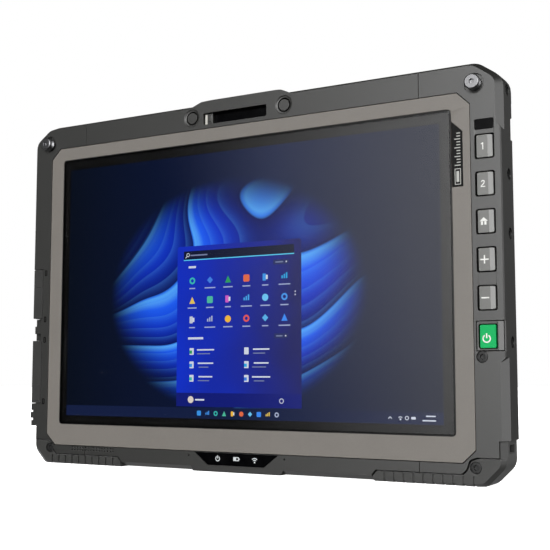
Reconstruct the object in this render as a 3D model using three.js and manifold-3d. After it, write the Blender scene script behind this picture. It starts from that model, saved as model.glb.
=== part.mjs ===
// Rugged 10-inch field tablet, the data collector of a survey crew, as an assembly.
// Millimetres. +X is the user's right, +Y goes into the instrument, +Z is up.
// Until the last lines, X and Z are measured from the centre of the screen and Y
// from the front plane. The exported group puts the origin at the bottom centre.
import * as THREE from 'three';
import { mergeVertices } from 'three/addons/utils/BufferGeometryUtils.js';
import Module from 'manifold-3d';

const wasm = await Module();
wasm.setup();

// ---------------------------------------------------------------- driving dimensions

// Whole instrument
const SIDE_X = 138.7; // side walls
const TOP_Z = 96.3; // top edge
const CROWN_Z = 97.6; // raised block over the camera
const BASE_Z = -95.5; // rubber bumpers, which carry the instrument when it stands
const BELLY_Z = -95.3; // bottom bar, just clear of the table
const BACK_Y = 23.5; // rear face
const RING_Y = 17.2; // rear edge of the front housing ring
const COVER_Y = 17.5; // front edge of the rear cover
const GAP = 0.3; // running and assembly gap
const OUT = 2; // how far a cutter runs past the face that it opens

// Outer shape
const EDGE_IN = 2.4; // front bevel of the housing, across the face
const EDGE_DEEP = 5.5; // and into the depth
const REAR_IN = 5.4; // rear bevel of the cover
const TOE_X = 137.2; // side walls of the bumpers, set in a little
const TOE_Z = -75.3; // below this the bumpers wrap round the sides
const TOE_INNER = { right: 134.9, left: 132.4 }; // where the housing ends beside them

// Screen, bezel and glass
const SCREEN_X = 114.4;
const BEZEL_X = 124.3;
const BEZEL_LOW = -85.3;
const BEZEL_HIGH = 81.9;
const BEZEL_CUT = [6.1, 5.8]; // corner cuts, across and up
const BEZEL_GAP = 0.3; // dark line round the bezel
const BEZEL_DEEP = 5.9;
const GLASS_X = [-115.6, 115.2];
const GLASS_LOW = -73.7;
const GLASS_HIGH = 74.6;
const GLASS_Y = [0.3, 1.5];
const PANEL_Y = [1.8, 5.2];

// Chassis
const DECK_Y = [6.2, 7.4];
const DECK_X = 124.2;

// Seams of the housing ring
const TOP_SEAM_X = 100;
const BOTTOM_SEAM_LEFT = -97;
const BOTTOM_SEAM_RIGHT = 98;

// Bumpers
const BUMPER_BACK = 22.6;
const BUMPER_GAP = 0.6;
const BUMPER_TOP = -90.7; // top of the strip under the housing
const BUMPER_LIP = 1.1; // bevel along the lower front edge
const SHOULDER_Z = -83.2; // top of the corner block
const RIB_PITCH = 4.73;
const RIB_COUNT = 10;
const RIB_WIDTH = 0.9;
const RIB_DEEP = 0.9;

// Of each bumper: inner end, first groove, how far its shoulder is shifted along X,
// corner cut, and its front bevel across the face and into the depth.
const BUMPER_RIGHT = { start: 74.9, rib: 80.7, shift: 0, corner: 8.8, bevel: [1.6, 3.4] };
const BUMPER_LEFT = { start: 72.3, rib: 77.3, shift: -0.9, corner: 7.1, bevel: [4.9, 5.3] };

// Keys down the right side
const KEY_X = 131;
const KEY_SIZE = [7.1, 10.2];
const KEY_HOLE = [9.2, 11.5];
const KEY_NAMES = ['key_p1', 'key_p2', 'key_home', 'key_plus', 'key_minus', 'key_power'];
const KEY_TOP_Z = 55.95; // centre of the first key
const KEY_PITCH = 17.1;
const KEY_TRAVEL = 0.6;
const KEY_FRONT = -0.2; // caps stand a little proud
const KEY_BACK = 3.3;
const KEY_FACET = [2, 1]; // slope along the right edge of a cap, across and into the depth
const MEMBRANE_Y = [4.7, 5.7];

// Left side doors: low z, high z
const DOOR_UPPER = [-14.8, 13];
const DOOR_LOWER = [-62.6, -27.5];
const DOOR_LIP_X = -129.7; // where a door ends on the front face
const DOOR_HINGE_Y = 13.6;
const DOOR_WALL = 2;
const BAY_FLOOR_X = -126.6;
const PORT_TIP_X = -129.4; // mouths of the connectors
const PORT_BACK_X = -112;
const PORT_Y = 9.3;

// Release cap in a dish that breaks the front left edge
const CAP_Y = 4.4;
const CAP_Z = -69.4;
const CAP_RADIUS = 3.8;
const CAP_DISH = 5.2;
const CAP_DISH_X = -135; // floor of the dish
const CAP_GRIP = [1.7, 3.2, 3]; // half its width, half its length, how far it stands out

// Top bar
const SLOT_X = [-20.7, 17.8];
const SLOT_Z = [84.2, 90.3];
const SLOT_DEEP = 3;
const PLUG_X = 27.8;
const PLUG_Z = 88.6;
const STUD_X = 126.7;
const STUD_Z = 85.4;
const STUD_PROUD = 4;

// Rear face
const BATTERY_X = [-84, 66];
const BATTERY_Z = [-79, -12];
const BATTERY_FLOOR = 13.4;
const BATTERY_BACK = 23.3;
const TUB_WALL = 1.3;
const COVER_SKIN = 2;
const LATCH_X = [-66, 48]; // centres of the two battery latches
const LATCH_Z = -5.4;
const LATCH_TRAVEL = 4.5;
const STYLUS_X = 131.2;
const STYLUS_Y = 20.4;
const STYLUS_RADIUS = 2.7;
const STYLUS_Z = [-28, 78];
const STYLUS_HEAD_Z = 71.6;
const NOTCH_Z = [61, 71];
const REAR_CAMERA = [52, 66];

const CURVE_STEPS = 4;

// ---------------------------------------------------------------- materials

function material(color, roughness, metalness) {
  return new THREE.MeshStandardMaterial({ color, roughness, metalness });
}

const housing = material(0x55544f, 0.62, 0);
const rubber = material(0x3b3b39, 0.8, 0);
const bezelPaint = material(0x8a847a, 0.55, 0);
const blackGloss = material(0x0a0a0b, 0.12, 0);
const blackPlastic = material(0x1a1a1a, 0.5, 0);
const screenGlass = material(0x101418, 0.05, 0);
const screenImage = material(0x10284c, 0.3, 0);
const steel = material(0xc9c9c6, 0.28, 1);
const blackSteel = material(0x202020, 0.4, 0.8);
const magnesium = material(0x8b8c8e, 0.5, 0.8);
const copper = material(0xb87346, 0.35, 1);
const board = material(0x1c4a30, 0.6, 0);
const green = material(0x10ad62, 0.4, 0);

// ---------------------------------------------------------------- solids

const X = new THREE.Vector3(1, 0, 0);
const Y = new THREE.Vector3(0, 1, 0);
const Z = new THREE.Vector3(0, 0, 1);

// The axes that an outline's first axis, second axis and depth take. An outline
// pushed along Y is drawn in X and Z, along X in Y and Z, along Z in X and Y.
const BASES = {
  x: [Y, Z, X],
  y: [X, Z, Y.clone().negate()],
  z: [X, Y, Z],
};

function toSolid(geometry) {
  const bare = geometry.clone();
  bare.deleteAttribute('normal');
  bare.deleteAttribute('uv');
  const merged = mergeVertices(bare, 1e-4);
  const vertProperties = Float32Array.from(merged.attributes.position.array);
  const triVerts = Uint32Array.from(merged.index.array);
  return new wasm.Manifold(new wasm.Mesh({ numProp: 3, vertProperties, triVerts }));
}

function toGeometry(solid) {
  const mesh = solid.getMesh();
  const geometry = new THREE.BufferGeometry();
  geometry.setAttribute('position', new THREE.BufferAttribute(mesh.vertProperties, 3));
  geometry.setIndex(new THREE.BufferAttribute(mesh.triVerts, 1));
  geometry.computeVertexNormals();
  return geometry;
}

// The point of a rounded corner that lies a given distance along one of its sides.
function alongSide(corner, other, distance) {
  const start = new THREE.Vector2(corner[0], corner[1]);
  const end = new THREE.Vector2(other[0], other[1]);
  return start.add(end.sub(start).setLength(distance));
}

// Closed outline from corners [a, b, reach], where reach is how far rounding starts
// from the corner.
function outline(corners) {
  const shape = new THREE.Shape();
  corners.forEach((corner, i) => {
    const [a, b, reach = 0] = corner;
    const enter = reach ? alongSide(corner, corners.at(i - 1), reach) : new THREE.Vector2(a, b);
    if (i === 0) shape.moveTo(enter.x, enter.y);
    else shape.lineTo(enter.x, enter.y);
    if (reach) {
      const leave = alongSide(corner, corners[(i + 1) % corners.length], reach);
      shape.quadraticCurveTo(a, b, leave.x, leave.y);
    }
  });
  shape.closePath();
  return shape;
}

function prism(corners, along, from, to) {
  const depth = to - from;
  const settings = { depth, bevelEnabled: false, curveSegments: CURVE_STEPS };
  const geometry = new THREE.ExtrudeGeometry(outline(corners), settings);
  geometry.applyMatrix4(new THREE.Matrix4().makeBasis(...BASES[along]));
  const shift = along === 'y' ? to : from;
  geometry.translate(...{ x: [shift, 0, 0], y: [0, shift, 0], z: [0, 0, shift] }[along]);
  return toSolid(geometry);
}

function block(xs, ys, zs) {
  const size = [xs[1] - xs[0], ys[1] - ys[0], zs[1] - zs[0]];
  const geometry = new THREE.BoxGeometry(...size);
  geometry.translate((xs[0] + xs[1]) / 2, (ys[0] + ys[1]) / 2, (zs[0] + zs[1]) / 2);
  return toSolid(geometry);
}

// Round bar or cone along an axis, with the place of that axis as its two other
// coordinates in X, Y, Z order.
function rod(along, place, radius, from, to, sides = 24, farRadius = radius) {
  const geometry = new THREE.CylinderGeometry(farRadius, radius, to - from, sides);
  const middle = (from + to) / 2;
  if (along === 'x') {
    geometry.rotateZ(-Math.PI / 2);
    geometry.translate(middle, place[0], place[1]);
  } else if (along === 'y') {
    geometry.translate(place[0], middle, place[1]);
  } else {
    geometry.rotateX(Math.PI / 2);
    geometry.translate(place[0], place[1], middle);
  }
  return toSolid(geometry);
}

// Plate with both of its outer edges bevelled, pushed along Y.
function bevelled(corners, front, back, inset, deep) {
  const settings = {
    depth: back - front - 2 * deep,
    bevelEnabled: true,
    bevelSegments: 1,
    bevelSize: inset,
    bevelOffset: -inset,
    bevelThickness: deep,
    curveSegments: CURVE_STEPS,
  };
  const geometry = new THREE.ExtrudeGeometry(outline(corners), settings);
  geometry.applyMatrix4(new THREE.Matrix4().makeBasis(...BASES.y));
  geometry.translate(0, back - deep, 0);
  return toSolid(geometry);
}

function roundedRectangle([x, z], [width, height], reach) {
  return [
    [x - width / 2, z - height / 2, reach],
    [x + width / 2, z - height / 2, reach],
    [x + width / 2, z + height / 2, reach],
    [x - width / 2, z + height / 2, reach],
  ];
}

function mirrored(corners) {
  return corners.map(([x, z, reach]) => [-x, z, reach]).reverse();
}

function joined(solids) {
  return solids.reduce((sum, solid) => sum.add(solid));
}

function cut(solid, cutters) {
  return solid.subtract(joined(cutters));
}

// Six-lobed driver socket, as an outline round the point given.
function driverSocket([a, b], radius) {
  const points = 12;
  return Array.from({ length: points }, (_, i) => {
    const reach = i % 2 ? radius : radius * 0.72;
    const angle = (i / points) * 2 * Math.PI;
    return [a + reach * Math.cos(angle), b + reach * Math.sin(angle)];
  });
}

// ---------------------------------------------------------------- the assembly

const tablet = new THREE.Group();

function add(name, solid, look) {
  const mesh = new THREE.Mesh(toGeometry(solid), look);
  mesh.name = name;
  tablet.add(mesh);
}

// Outline of the whole instrument.
function bodyOutline() {
  return [
    [SIDE_X, 88, 4.5],
    [127, TOP_Z, 3],
    [-127, TOP_Z, 3],
    [-SIDE_X, 88, 4.5],
    [-SIDE_X, -86, 3.5],
    [-127.6, BELLY_Z, 3.5],
    [127.6, BELLY_Z, 3.5],
    [SIDE_X, -86, 3.5],
  ];
}

// Room for the parts of the bumpers that wrap round the sides.
const toeRooms = joined([
  block([TOE_INNER.right, 150], [-OUT, BACK_Y + OUT], [-120, TOE_Z]),
  block([-150, -TOE_INNER.left], [-OUT, BACK_Y + OUT], [-120, TOE_Z]),
]);

function cutCornerRectangle(halfX, low, high, grow = 0) {
  const x = halfX + grow;
  const [across, up] = BEZEL_CUT;
  return [
    [-x, low - grow + up],
    [-x + across, low - grow],
    [x - across, low - grow],
    [x, low - grow + up],
    [x, high + grow - up],
    [x - across, high + grow],
    [-x + across, high + grow],
    [-x, high + grow - up],
  ];
}

// Front of the bumper under the right corner: a strip below the housing and a block
// round the corner, joined by an S-shaped shoulder.
function bumperOutline({ start, shift }, grow = 0) {
  return [
    [start - grow, BASE_Z - grow * OUT],
    [start - grow, -92.8 + grow],
    [start + 1.9 - grow, BUMPER_TOP + grow],
    [118.6 + shift - grow, BUMPER_TOP + grow, 1.5],
    [120.7 + shift - grow, -88.4 + grow, 1.2],
    [121.9 + shift - grow, -84.6 + grow, 1],
    [125 + shift - grow, SHOULDER_Z + grow, 1.5],
    [SIDE_X + OUT, SHOULDER_Z + grow],
    [SIDE_X + OUT, BASE_Z - grow * OUT],
  ];
}

function bumperRoom(corners) {
  return prism(corners, 'y', -OUT, BACK_Y + OUT);
}

const bumperRooms = joined([
  bumperRoom(bumperOutline(BUMPER_RIGHT, BUMPER_GAP)),
  bumperRoom(mirrored(bumperOutline(BUMPER_LEFT, BUMPER_GAP))),
  toeRooms,
]);

// The front housing is one ring, cut into four mouldings at its seams.
function housingRing() {
  const body = bevelled(bodyOutline(), 0, BACK_Y + EDGE_DEEP, EDGE_IN, EDGE_DEEP);
  // Beside the keys the front face runs out to the side wall.
  const keyStrip = [
    [130, 66.4],
    [136.4, 66.4],
    [SIDE_X, 63.6],
    [SIDE_X, -38.8],
    [136.8, -40.8],
    [130, -40.8],
  ];
  const crown = [
    [34, 91],
    [32.8, 93.7, 1],
    [24.4, CROWN_Z, 4],
    [-19.4, CROWN_Z, 4],
    [-29.6, 93.7, 1],
    [-31, 91],
  ];
  // Between its end slopes the bottom bar keeps its full height at the front.
  const dockBlock = [
    [-27.4, -92],
    [-25.4, BELLY_Z],
    [26, BELLY_Z],
    [28, -92],
  ];
  const slab = block([-200, 200], [0, RING_Y], [-200, 200]);
  const solid = joined([
    body.intersect(slab),
    prism(keyStrip, 'y', 0, 7),
    prism(crown, 'y', 0, RING_Y),
    prism(dockBlock, 'y', 0, 7),
  ]);
  const crownEdge = [[-1.1, CROWN_Z - 1.5], [3.3, CROWN_Z + 0.5], [-1.1, CROWN_Z + 0.5]];
  const crownBevel = prism(crownEdge, 'x', -40, 40);
  const keyEdge = [[SIDE_X - 1.6, -1], [SIDE_X + 1, -1], [SIDE_X + 1, 1.6]];
  const keyBevel = prism(keyEdge, 'z', -38.8, 63.6);
  const skirt = [[-1, -92.5], [2.6, BELLY_Z], [2.6, BELLY_Z - OUT], [-1, BELLY_Z - OUT]];
  const skirtLeft = prism(skirt, 'x', -72, -27.2);
  const skirtRight = prism(skirt, 'x', 27.8, 75);
  const inside = cutCornerRectangle(BEZEL_X, BEZEL_LOW, BEZEL_HIGH, BEZEL_GAP);
  return cut(solid, [
    prism(inside, 'y', -OUT, RING_Y + OUT),
    crownBevel,
    keyBevel,
    skirtLeft,
    skirtRight,
    bumperRooms,
  ]);
}

const ring = housingRing();

// ---------------------------------------------------------------- fasteners

function screwY([x, z], radius) {
  const head = rod('y', [x, z], radius, 0.25, 2.2, 24);
  const shank = rod('y', [x, z], radius * 0.5, 2.1, 9, 8);
  const socket = prism(driverSocket([x, z], radius * 0.52), 'y', -OUT, 1.3);
  return cut(head.add(shank), [socket]);
}

function screwRoomY([x, z], radius) {
  const head = rod('y', [x, z], radius + 0.2, -OUT, 2.5, 24);
  return head.add(rod('y', [x, z], radius * 0.5 + GAP, 2.4, 9.4, 8));
}

function screwX([y, z], radius, sideX) {
  const head = rod('x', [y, z], radius, sideX - 2.4, sideX - 0.5, 18);
  const shank = rod('x', [y, z], radius * 0.5, sideX - 9, sideX - 2.3, 8);
  const socket = prism(driverSocket([y, z], radius * 0.52), 'x', sideX - 1.5, sideX + OUT);
  return cut(head.add(shank), [socket]);
}

function screwRoomX([y, z], radius, sideX) {
  const head = rod('x', [y, z], radius + 0.2, sideX - 2.7, sideX + OUT, 18);
  return head.add(rod('x', [y, z], radius * 0.5 + GAP, sideX - 9.4, sideX - 2.6, 8));
}

function screwRear([x, z], radius) {
  const head = rod('y', [x, z], radius, BACK_Y - 2.2, BACK_Y - 0.4, 18);
  const shank = rod('y', [x, z], radius * 0.5, BACK_Y - 6, BACK_Y - 2.1, 8);
  const socket = prism(driverSocket([x, z], radius * 0.52), 'y', BACK_Y - 1.3, BACK_Y + OUT);
  return cut(head.add(shank), [socket]);
}

const FRONT_SCREW_RADIUS = 2.5;
const FRONT_SCREWS = {
  front_screw_side: [128.1, -38.5],
  bumper_screw_right: [124.2, -87.2],
  bumper_screw_left: [-122, -87.2],
};
const SIDE_SCREW_ZS = [83.4, 44.2, 17.1, -32];
const SIDE_SCREW_Y = 11.3;
const REAR_SCREWS = [[-119, 74], [112, 74], [-119, -72], [112, -72]];

Object.entries(FRONT_SCREWS).forEach(([name, place]) => {
  add(name, screwY(place, FRONT_SCREW_RADIUS), blackSteel);
});
SIDE_SCREW_ZS.forEach((z, i) => {
  add(`side_screw_${i + 1}`, screwX([SIDE_SCREW_Y, z], 2.5, SIDE_X), blackSteel);
});
REAR_SCREWS.forEach((place, i) => {
  add(`rear_screw_${i + 1}`, screwRear(place, 2.6), blackSteel);
});

// Mushroom stud for a carrying harness: head, waist, foot flange and threaded end.
function cornerStud(x) {
  const profile = [
    [0, 9],
    [1.9, 9],
    [1.9, 0.9],
    [3.3, 0.6],
    [3.3, -0.2],
    [2.1, -1.2],
    [2.1, -2],
    [3.55, -2.4],
    [3.55, -3.6],
    [3.1, -STUD_PROUD],
    [0, -STUD_PROUD],
  ];
  const points = profile.map(([radius, y]) => new THREE.Vector2(radius, y)).reverse();
  const body = toSolid(new THREE.LatheGeometry(points, 24));
  const socket = prism(driverSocket([0, 0], 1.35), 'y', -STUD_PROUD - OUT, -2.6);
  return cut(body, [socket]).translate([x, 0, STUD_Z]);
}

function studRoom(x) {
  const dish = rod('y', [x, STUD_Z], 4.7, -OUT, 1.2, 28);
  return dish.add(rod('y', [x, STUD_Z], 1.9 + GAP, 1.1, 9.4, 16));
}

add('corner_stud_left', cornerStud(-STUD_X), steel);
add('corner_stud_right', cornerStud(STUD_X), steel);

// ---------------------------------------------------------------- chassis and display

function midFrame() {
  const corners = cutCornerRectangle(DECK_X, BEZEL_LOW + 0.4, BEZEL_HIGH);
  const inner = cutCornerRectangle(DECK_X, BEZEL_LOW + 0.4, BEZEL_HIGH, -2.2);
  const tray = prism(corners, 'y', DECK_Y[0], RING_Y - GAP);
  const room = prism(inner, 'y', DECK_Y[1], RING_Y + OUT);
  const speakerDoor = block([-108, -74], [DECK_Y[1], RING_Y + OUT], [-90, -78]);
  const portDoor = block([-130, PORT_BACK_X + 1], [0, RING_Y + OUT], [-62, 12]);
  const cableSlot = block([104, 110], [0, 12], [-30, 30]);
  const cameraSlot = block([-14, 6], [DECK_Y[1], RING_Y + OUT], [78, 90]);
  return cut(tray, [room, speakerDoor, portDoor, cableSlot, cameraSlot]);
}

function frontBezel() {
  const frame = prism(cutCornerRectangle(BEZEL_X, BEZEL_LOW, BEZEL_HIGH), 'y', 0, BEZEL_DEEP);
  return cut(frame, [
    glassPane(0.5, [-OUT, BEZEL_DEEP + OUT]),
    prism(inlayOutline(0.15), 'y', -OUT, 1),
  ]);
}

// Name-plate inlay beside the upper right of the glass, cut off at a slant.
function inlayOutline(grow = 0) {
  return [
    [GLASS_X[1] + 0.6 - grow, 38.6 - grow],
    [120.7 + grow, 38.6 - grow],
    [120.7 + grow, 63.9 + grow],
    [GLASS_X[1] + 0.6 - grow, 68.8 + grow],
  ];
}

// Rounded slab in the shape of the cover glass, larger all round by half of a play.
function glassPane(play, ys) {
  const [left, right] = GLASS_X;
  const centre = [(left + right) / 2, (GLASS_LOW + GLASS_HIGH) / 2];
  const size = [right - left + play, GLASS_HIGH - GLASS_LOW + play];
  return prism(roundedRectangle(centre, size, 1.8 + play / 2), 'y', ...ys);
}

add('mid_frame', midFrame(), magnesium);
add('front_bezel', frontBezel(), bezelPaint);
add('label_inlay', prism(inlayOutline(), 'y', 0.1, 0.8), blackPlastic);
add('cover_glass', glassPane(0, GLASS_Y), screenGlass);
add('display_panel', block([-SCREEN_X, SCREEN_X], PANEL_Y, [-72.6, 73.7]), screenImage);

// ---------------------------------------------------------------- top bar and camera

function topBar() {
  const span = block([-TOP_SEAM_X + GAP, TOP_SEAM_X - GAP], [-OUT, RING_Y + OUT], [60, 120]);
  const slotCentre = [(SLOT_X[0] + SLOT_X[1]) / 2, (SLOT_Z[0] + SLOT_Z[1]) / 2];
  const slotSize = [SLOT_X[1] - SLOT_X[0], SLOT_Z[1] - SLOT_Z[0]];
  const plugRooms = [-PLUG_X, PLUG_X].map((x) => joined([
    rod('y', [x, PLUG_Z], 5.8, -1, 0.5, 28, 4.4),
    rod('y', [x, PLUG_Z], 3.7, 0.4, 4.4, 28),
  ]));
  return cut(ring.intersect(span), [
    prism(roundedRectangle(slotCentre, slotSize, 0.8), 'y', -OUT, SLOT_DEEP + 1.2),
    block([-23, 23], [SLOT_DEEP + 1.1, 14], [80, 91]),
    ...plugRooms,
  ]);
}

function handlePlug(x) {
  return joined([
    rod('y', [x, PLUG_Z], 2.95, 0.3, 3.6, 24),
    rod('y', [x, PLUG_Z], 3.4, 3, 4.1, 24),
  ]);
}

// Drawn at the left end of the slot.
function cameraShutter() {
  const tab = block([2.2, 5.4], [1, 2.7], [84.6, 89.9]);
  const grip = prism([[3.2, 0.4], [4.4, 0.4], [4.8, 1.1], [2.8, 1.1]], 'z', 85.6, 88.9);
  const step = block([0.5, 2.3], [1.5, 2.7], [84.9, 89.6]);
  return joined([tab, grip, step]).translate([SLOT_X[0], 0, 0]);
}

const LENS_X = SLOT_X[0] + 13.8;

function cameraModule() {
  const can = block([LENS_X - 6, LENS_X + 10], [4.6, 9], [84.6, 89.8]);
  return can.add(rod('y', [LENS_X, 87.2], 2, 4.4, 5, 24));
}

add('top_bar', topBar(), housing);
add('handle_plug_left', handlePlug(-PLUG_X), housing);
add('handle_plug_right', handlePlug(PLUG_X), housing);
add('camera_window', block([SLOT_X[0] + GAP, SLOT_X[1] - GAP], [3.1, 4], [84.5, 90]), blackGloss);
add('camera_shutter', cameraShutter(), housing);
add('camera_module', cameraModule(), blackPlastic);

// ---------------------------------------------------------------- bottom bar and bumpers

const SPEAKER_ROWS = [-86.2, -87.7];
const SPEAKER_FIRST = -105.8;
const SPEAKER_PITCH = 1.9;
const SPEAKER_COUNT = 16;
const SPEAKER_SKIN = 1.5;
const SPEAKER_X = [-107, -75];

function speakerHoles() {
  const holes = SPEAKER_ROWS.flatMap((z) => Array.from({ length: SPEAKER_COUNT }, (_, i) => {
    const x = SPEAKER_FIRST + i * SPEAKER_PITCH;
    return rod('y', [x, z], 0.42, -OUT, SPEAKER_SKIN + 0.5, 8);
  }));
  return joined(holes);
}

const speakerOpening = joined([
  speakerHoles(),
  block(SPEAKER_X, [SPEAKER_SKIN, RING_Y + OUT], [-89.3, -84]),
]);

// Black window for the three status lamps.
function statusOutline(grow = 0) {
  return [
    [-16.3 - 2 * grow, -91.9 - grow],
    [16.3 + 2 * grow, -91.9 - grow],
    [24.2 + 3 * grow, -85.9 + grow],
    [-24.2 - 3 * grow, -85.9 + grow],
  ];
}

const DOCK_X = 18;
const DOCK_Y = [5, 13];
const DOCK_ROOF = -89.8;

function bottomBar() {
  const xs = [BOTTOM_SEAM_LEFT + GAP, BOTTOM_SEAM_RIGHT - GAP];
  const span = block(xs, [-OUT, RING_Y + OUT], [-120, -60]);
  const pinholes = [-28, 28].map((x) => rod('y', [x, -87.6], 0.5, -OUT, 2.4, 8));
  return cut(ring.intersect(span), [
    speakerOpening,
    prism(statusOutline(0.15), 'y', -OUT, 1.3),
    block([-DOCK_X, DOCK_X], DOCK_Y, [-100, DOCK_ROOF]),
    block([-14, 14], [6.4, 11.6], [-92, -80]),
    ...pinholes,
  ]);
}

// Bar of sprung contacts for a vehicle dock, in the recess under the instrument.
function dockConnector() {
  const pins = Array.from({ length: 8 }, (_, i) => {
    return rod('z', [-9.8 + i * 2.8, 9], 0.8, DOCK_ROOF - 1, DOCK_ROOF, 10);
  });
  return joined([block([-13.6, 13.6], [6.8, 11.2], [DOCK_ROOF - 0.3, -86.2]), ...pins]);
}

// Grooves that run down the front of a bumper and on along its underside.
function ribGrooves(first) {
  const section = [
    [-OUT, BUMPER_TOP - 0.2],
    [RIB_DEEP, BUMPER_TOP - 0.2],
    [RIB_DEEP, BASE_Z + BUMPER_LIP],
    [RIB_DEEP + 2, BASE_Z + RIB_DEEP],
    [BACK_Y + OUT, BASE_Z + RIB_DEEP],
    [BACK_Y + OUT, BASE_Z - OUT],
    [-OUT, BASE_Z - OUT],
  ];
  return joined(Array.from({ length: RIB_COUNT }, (_, i) => {
    const x = first + i * RIB_PITCH;
    return prism(section, 'x', x - RIB_WIDTH / 2, x + RIB_WIDTH / 2);
  }));
}

// Plate that both bumpers are cut from. It reaches below the base, so that its front
// bevel is only as tall as the lip there.
function bumperPlate(corner, [across, deep]) {
  const low = BASE_Z - across + BUMPER_LIP;
  const reach = corner + BASE_Z - low;
  const corners = [
    [TOE_X, 0],
    [-TOE_X, 0],
    [-TOE_X, low + reach, 3],
    [-TOE_X + reach, low, 3],
    [TOE_X - reach, low, 3],
    [TOE_X, low + reach, 3],
  ];
  return bevelled(corners, 0, BUMPER_BACK, across, deep);
}

const TETHER_HOLE_Y = [7.8, 15.6];
const TETHER_HOLE_Z = [-81, -77.2];

// Right bumper. Its side wraps round the housing as a bevelled wall up to the toe.
function bumper({ start, rib, shift, corner, bevel }, inner) {
  const reach = TOE_X - inner;
  const wallEdge = [
    [inner, 0],
    [inner, -OUT],
    [TOE_X + OUT, -OUT],
    [TOE_X + OUT, 5.2 * (reach + OUT) / reach],
  ];
  const wall = cut(block([inner + GAP, 150], [-OUT, BACK_Y], [SHOULDER_Z - 2, TOE_Z - GAP]), [
    prism(wallEdge, 'z', SHOULDER_Z, TOE_Z + OUT),
    block([130, 140], TETHER_HOLE_Y, TETHER_HOLE_Z),
  ]);
  const front = prism(bumperOutline({ start, shift }), 'y', -OUT, BACK_Y);
  const above = block([0, 150], [-OUT, BACK_Y], [BASE_Z, 0]);
  const heart = block([start + 4, 116], [4, 18], [BUMPER_TOP - 2.4, BUMPER_TOP + 1]);
  const body = bumperPlate(corner, bevel).intersect(front.add(wall)).intersect(above);
  return cut(body, [ribGrooves(rib), heart]);
}

const bumperRight = bumper(BUMPER_RIGHT, TOE_INNER.right);
const bumperLeft = bumper(BUMPER_LEFT, TOE_INNER.left).mirror([1, 0, 0]);
const bumperScrewRooms = Object.values(FRONT_SCREWS).map((place) => {
  return screwRoomY(place, FRONT_SCREW_RADIUS);
});

add('bottom_bar', bottomBar(), housing);
add('status_window', prism(statusOutline(), 'y', 0.15, 1), blackGloss);
add('dock_connector', dockConnector(), blackPlastic);
add('bumper_lower_right', cut(bumperRight, bumperScrewRooms), rubber);
add('bumper_lower_left', cut(bumperLeft, bumperScrewRooms), rubber);

// ---------------------------------------------------------------- right side and keys

const keyCentres = KEY_NAMES.map((_, i) => [KEY_X, KEY_TOP_Z - i * KEY_PITCH]);
const powerCentre = keyCentres.at(-1);
const SURROUND = [125.8, 137.8, -35.8, -22.8]; // low x, high x, low z, high z

function keyCap([x, z]) {
  return prism(roundedRectangle([x, z], KEY_SIZE, 0.6), 'y', KEY_FRONT, KEY_BACK);
}

// Slope along the right edge of the grey caps.
function keyFacet([x, z]) {
  const [width, height] = KEY_SIZE;
  const edge = x + width / 2;
  const [across, deep] = KEY_FACET;
  const section = [
    [edge - across, KEY_FRONT],
    [edge - across, KEY_FRONT - 1],
    [edge + across, KEY_FRONT - 1],
    [edge + across, KEY_FRONT + 2 * deep],
  ];
  return prism(section, 'z', z - height, z + height);
}

// The membrane has one dome under each key.
function keypadMembrane() {
  const sheet = block([125.1, 136.8], MEMBRANE_Y, [-36.8, 61.6]);
  const domeTop = KEY_BACK + KEY_TRAVEL + 0.2;
  const domes = keyCentres.map((centre) => rod('y', centre, 2, domeTop, 5, 16));
  return joined([sheet, ...domes]);
}

// Window of the light sensor, above the keys.
function sensorPane(size, reach, ys) {
  return prism(roundedRectangle([131, 66.1], size, reach), 'y', ...ys);
}

function rightSideFrame() {
  const upper = block([TOP_SEAM_X, 200], [-OUT, RING_Y + OUT], [0, 200]);
  const lower = block([BOTTOM_SEAM_RIGHT, 200], [-OUT, RING_Y + OUT], [-200, 0]);
  const holes = keyCentres.map((centre) => {
    return prism(roundedRectangle(centre, KEY_HOLE, 1.2), 'y', -OUT, 4.5);
  });
  const [lowX, highX, lowZ, highZ] = SURROUND;
  const roomZs = [lowZ - GAP, highZ + GAP];
  const surroundRoom = joined([
    block([lowX - GAP, highX + GAP], [-OUT, 4.5], roomZs),
    block([highX, SIDE_X + OUT], [-OUT, 1.2], roomZs),
  ]);
  const volumeGroove = block([127.3, 135.3], [-OUT, 0.3], [-8, -1]);
  const [notchLow, notchHigh] = NOTCH_Z;
  const fingerNotch = prism(
    [[137.4, notchLow + 0.8], [142, notchLow - 3], [142, notchHigh + 1], [137.4, notchHigh]],
    'y',
    15.2,
    RING_Y + OUT,
  );
  return cut(ring.intersect(upper.add(lower)), [
    ...holes,
    surroundRoom,
    volumeGroove,
    fingerNotch,
    block([124, 137.1], [4.4, 6], [-37.1, 61.9]),
    sensorPane([9, 4.9], 0.8, [-OUT, 1.5]),
    block([130, 140], TETHER_HOLE_Y, TETHER_HOLE_Z),
    studRoom(STUD_X),
    ...bumperScrewRooms,
    ...SIDE_SCREW_ZS.map((z) => screwRoomX([SIDE_SCREW_Y, z], 2.5, SIDE_X)),
  ]);
}

function powerKeySurround() {
  const [lowX, highX, lowZ, highZ] = SURROUND;
  const frame = prism(
    [[lowX, 0], [highX - 1.9, 0], [highX, 1.1], [highX, 4.1], [lowX, 4.1]],
    'z',
    lowZ,
    highZ,
  );
  return cut(frame, [prism(roundedRectangle(powerCentre, [8.7, 11], 1.2), 'y', -OUT, 6)]);
}

add('right_side_frame', rightSideFrame(), housing);
add('light_sensor_window', sensorPane([8.7, 4.6], 0.7, [0.15, 1.2]), blackGloss);
add('power_key_surround', powerKeySurround(), housing);
add('keypad_membrane', keypadMembrane(), rubber);
KEY_NAMES.slice(0, -1).forEach((name, i) => {
  add(name, cut(keyCap(keyCentres[i]), [keyFacet(keyCentres[i])]), housing);
});
add('key_power', keyCap(powerCentre), green);

// ---------------------------------------------------------------- left side, doors and ports

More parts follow.
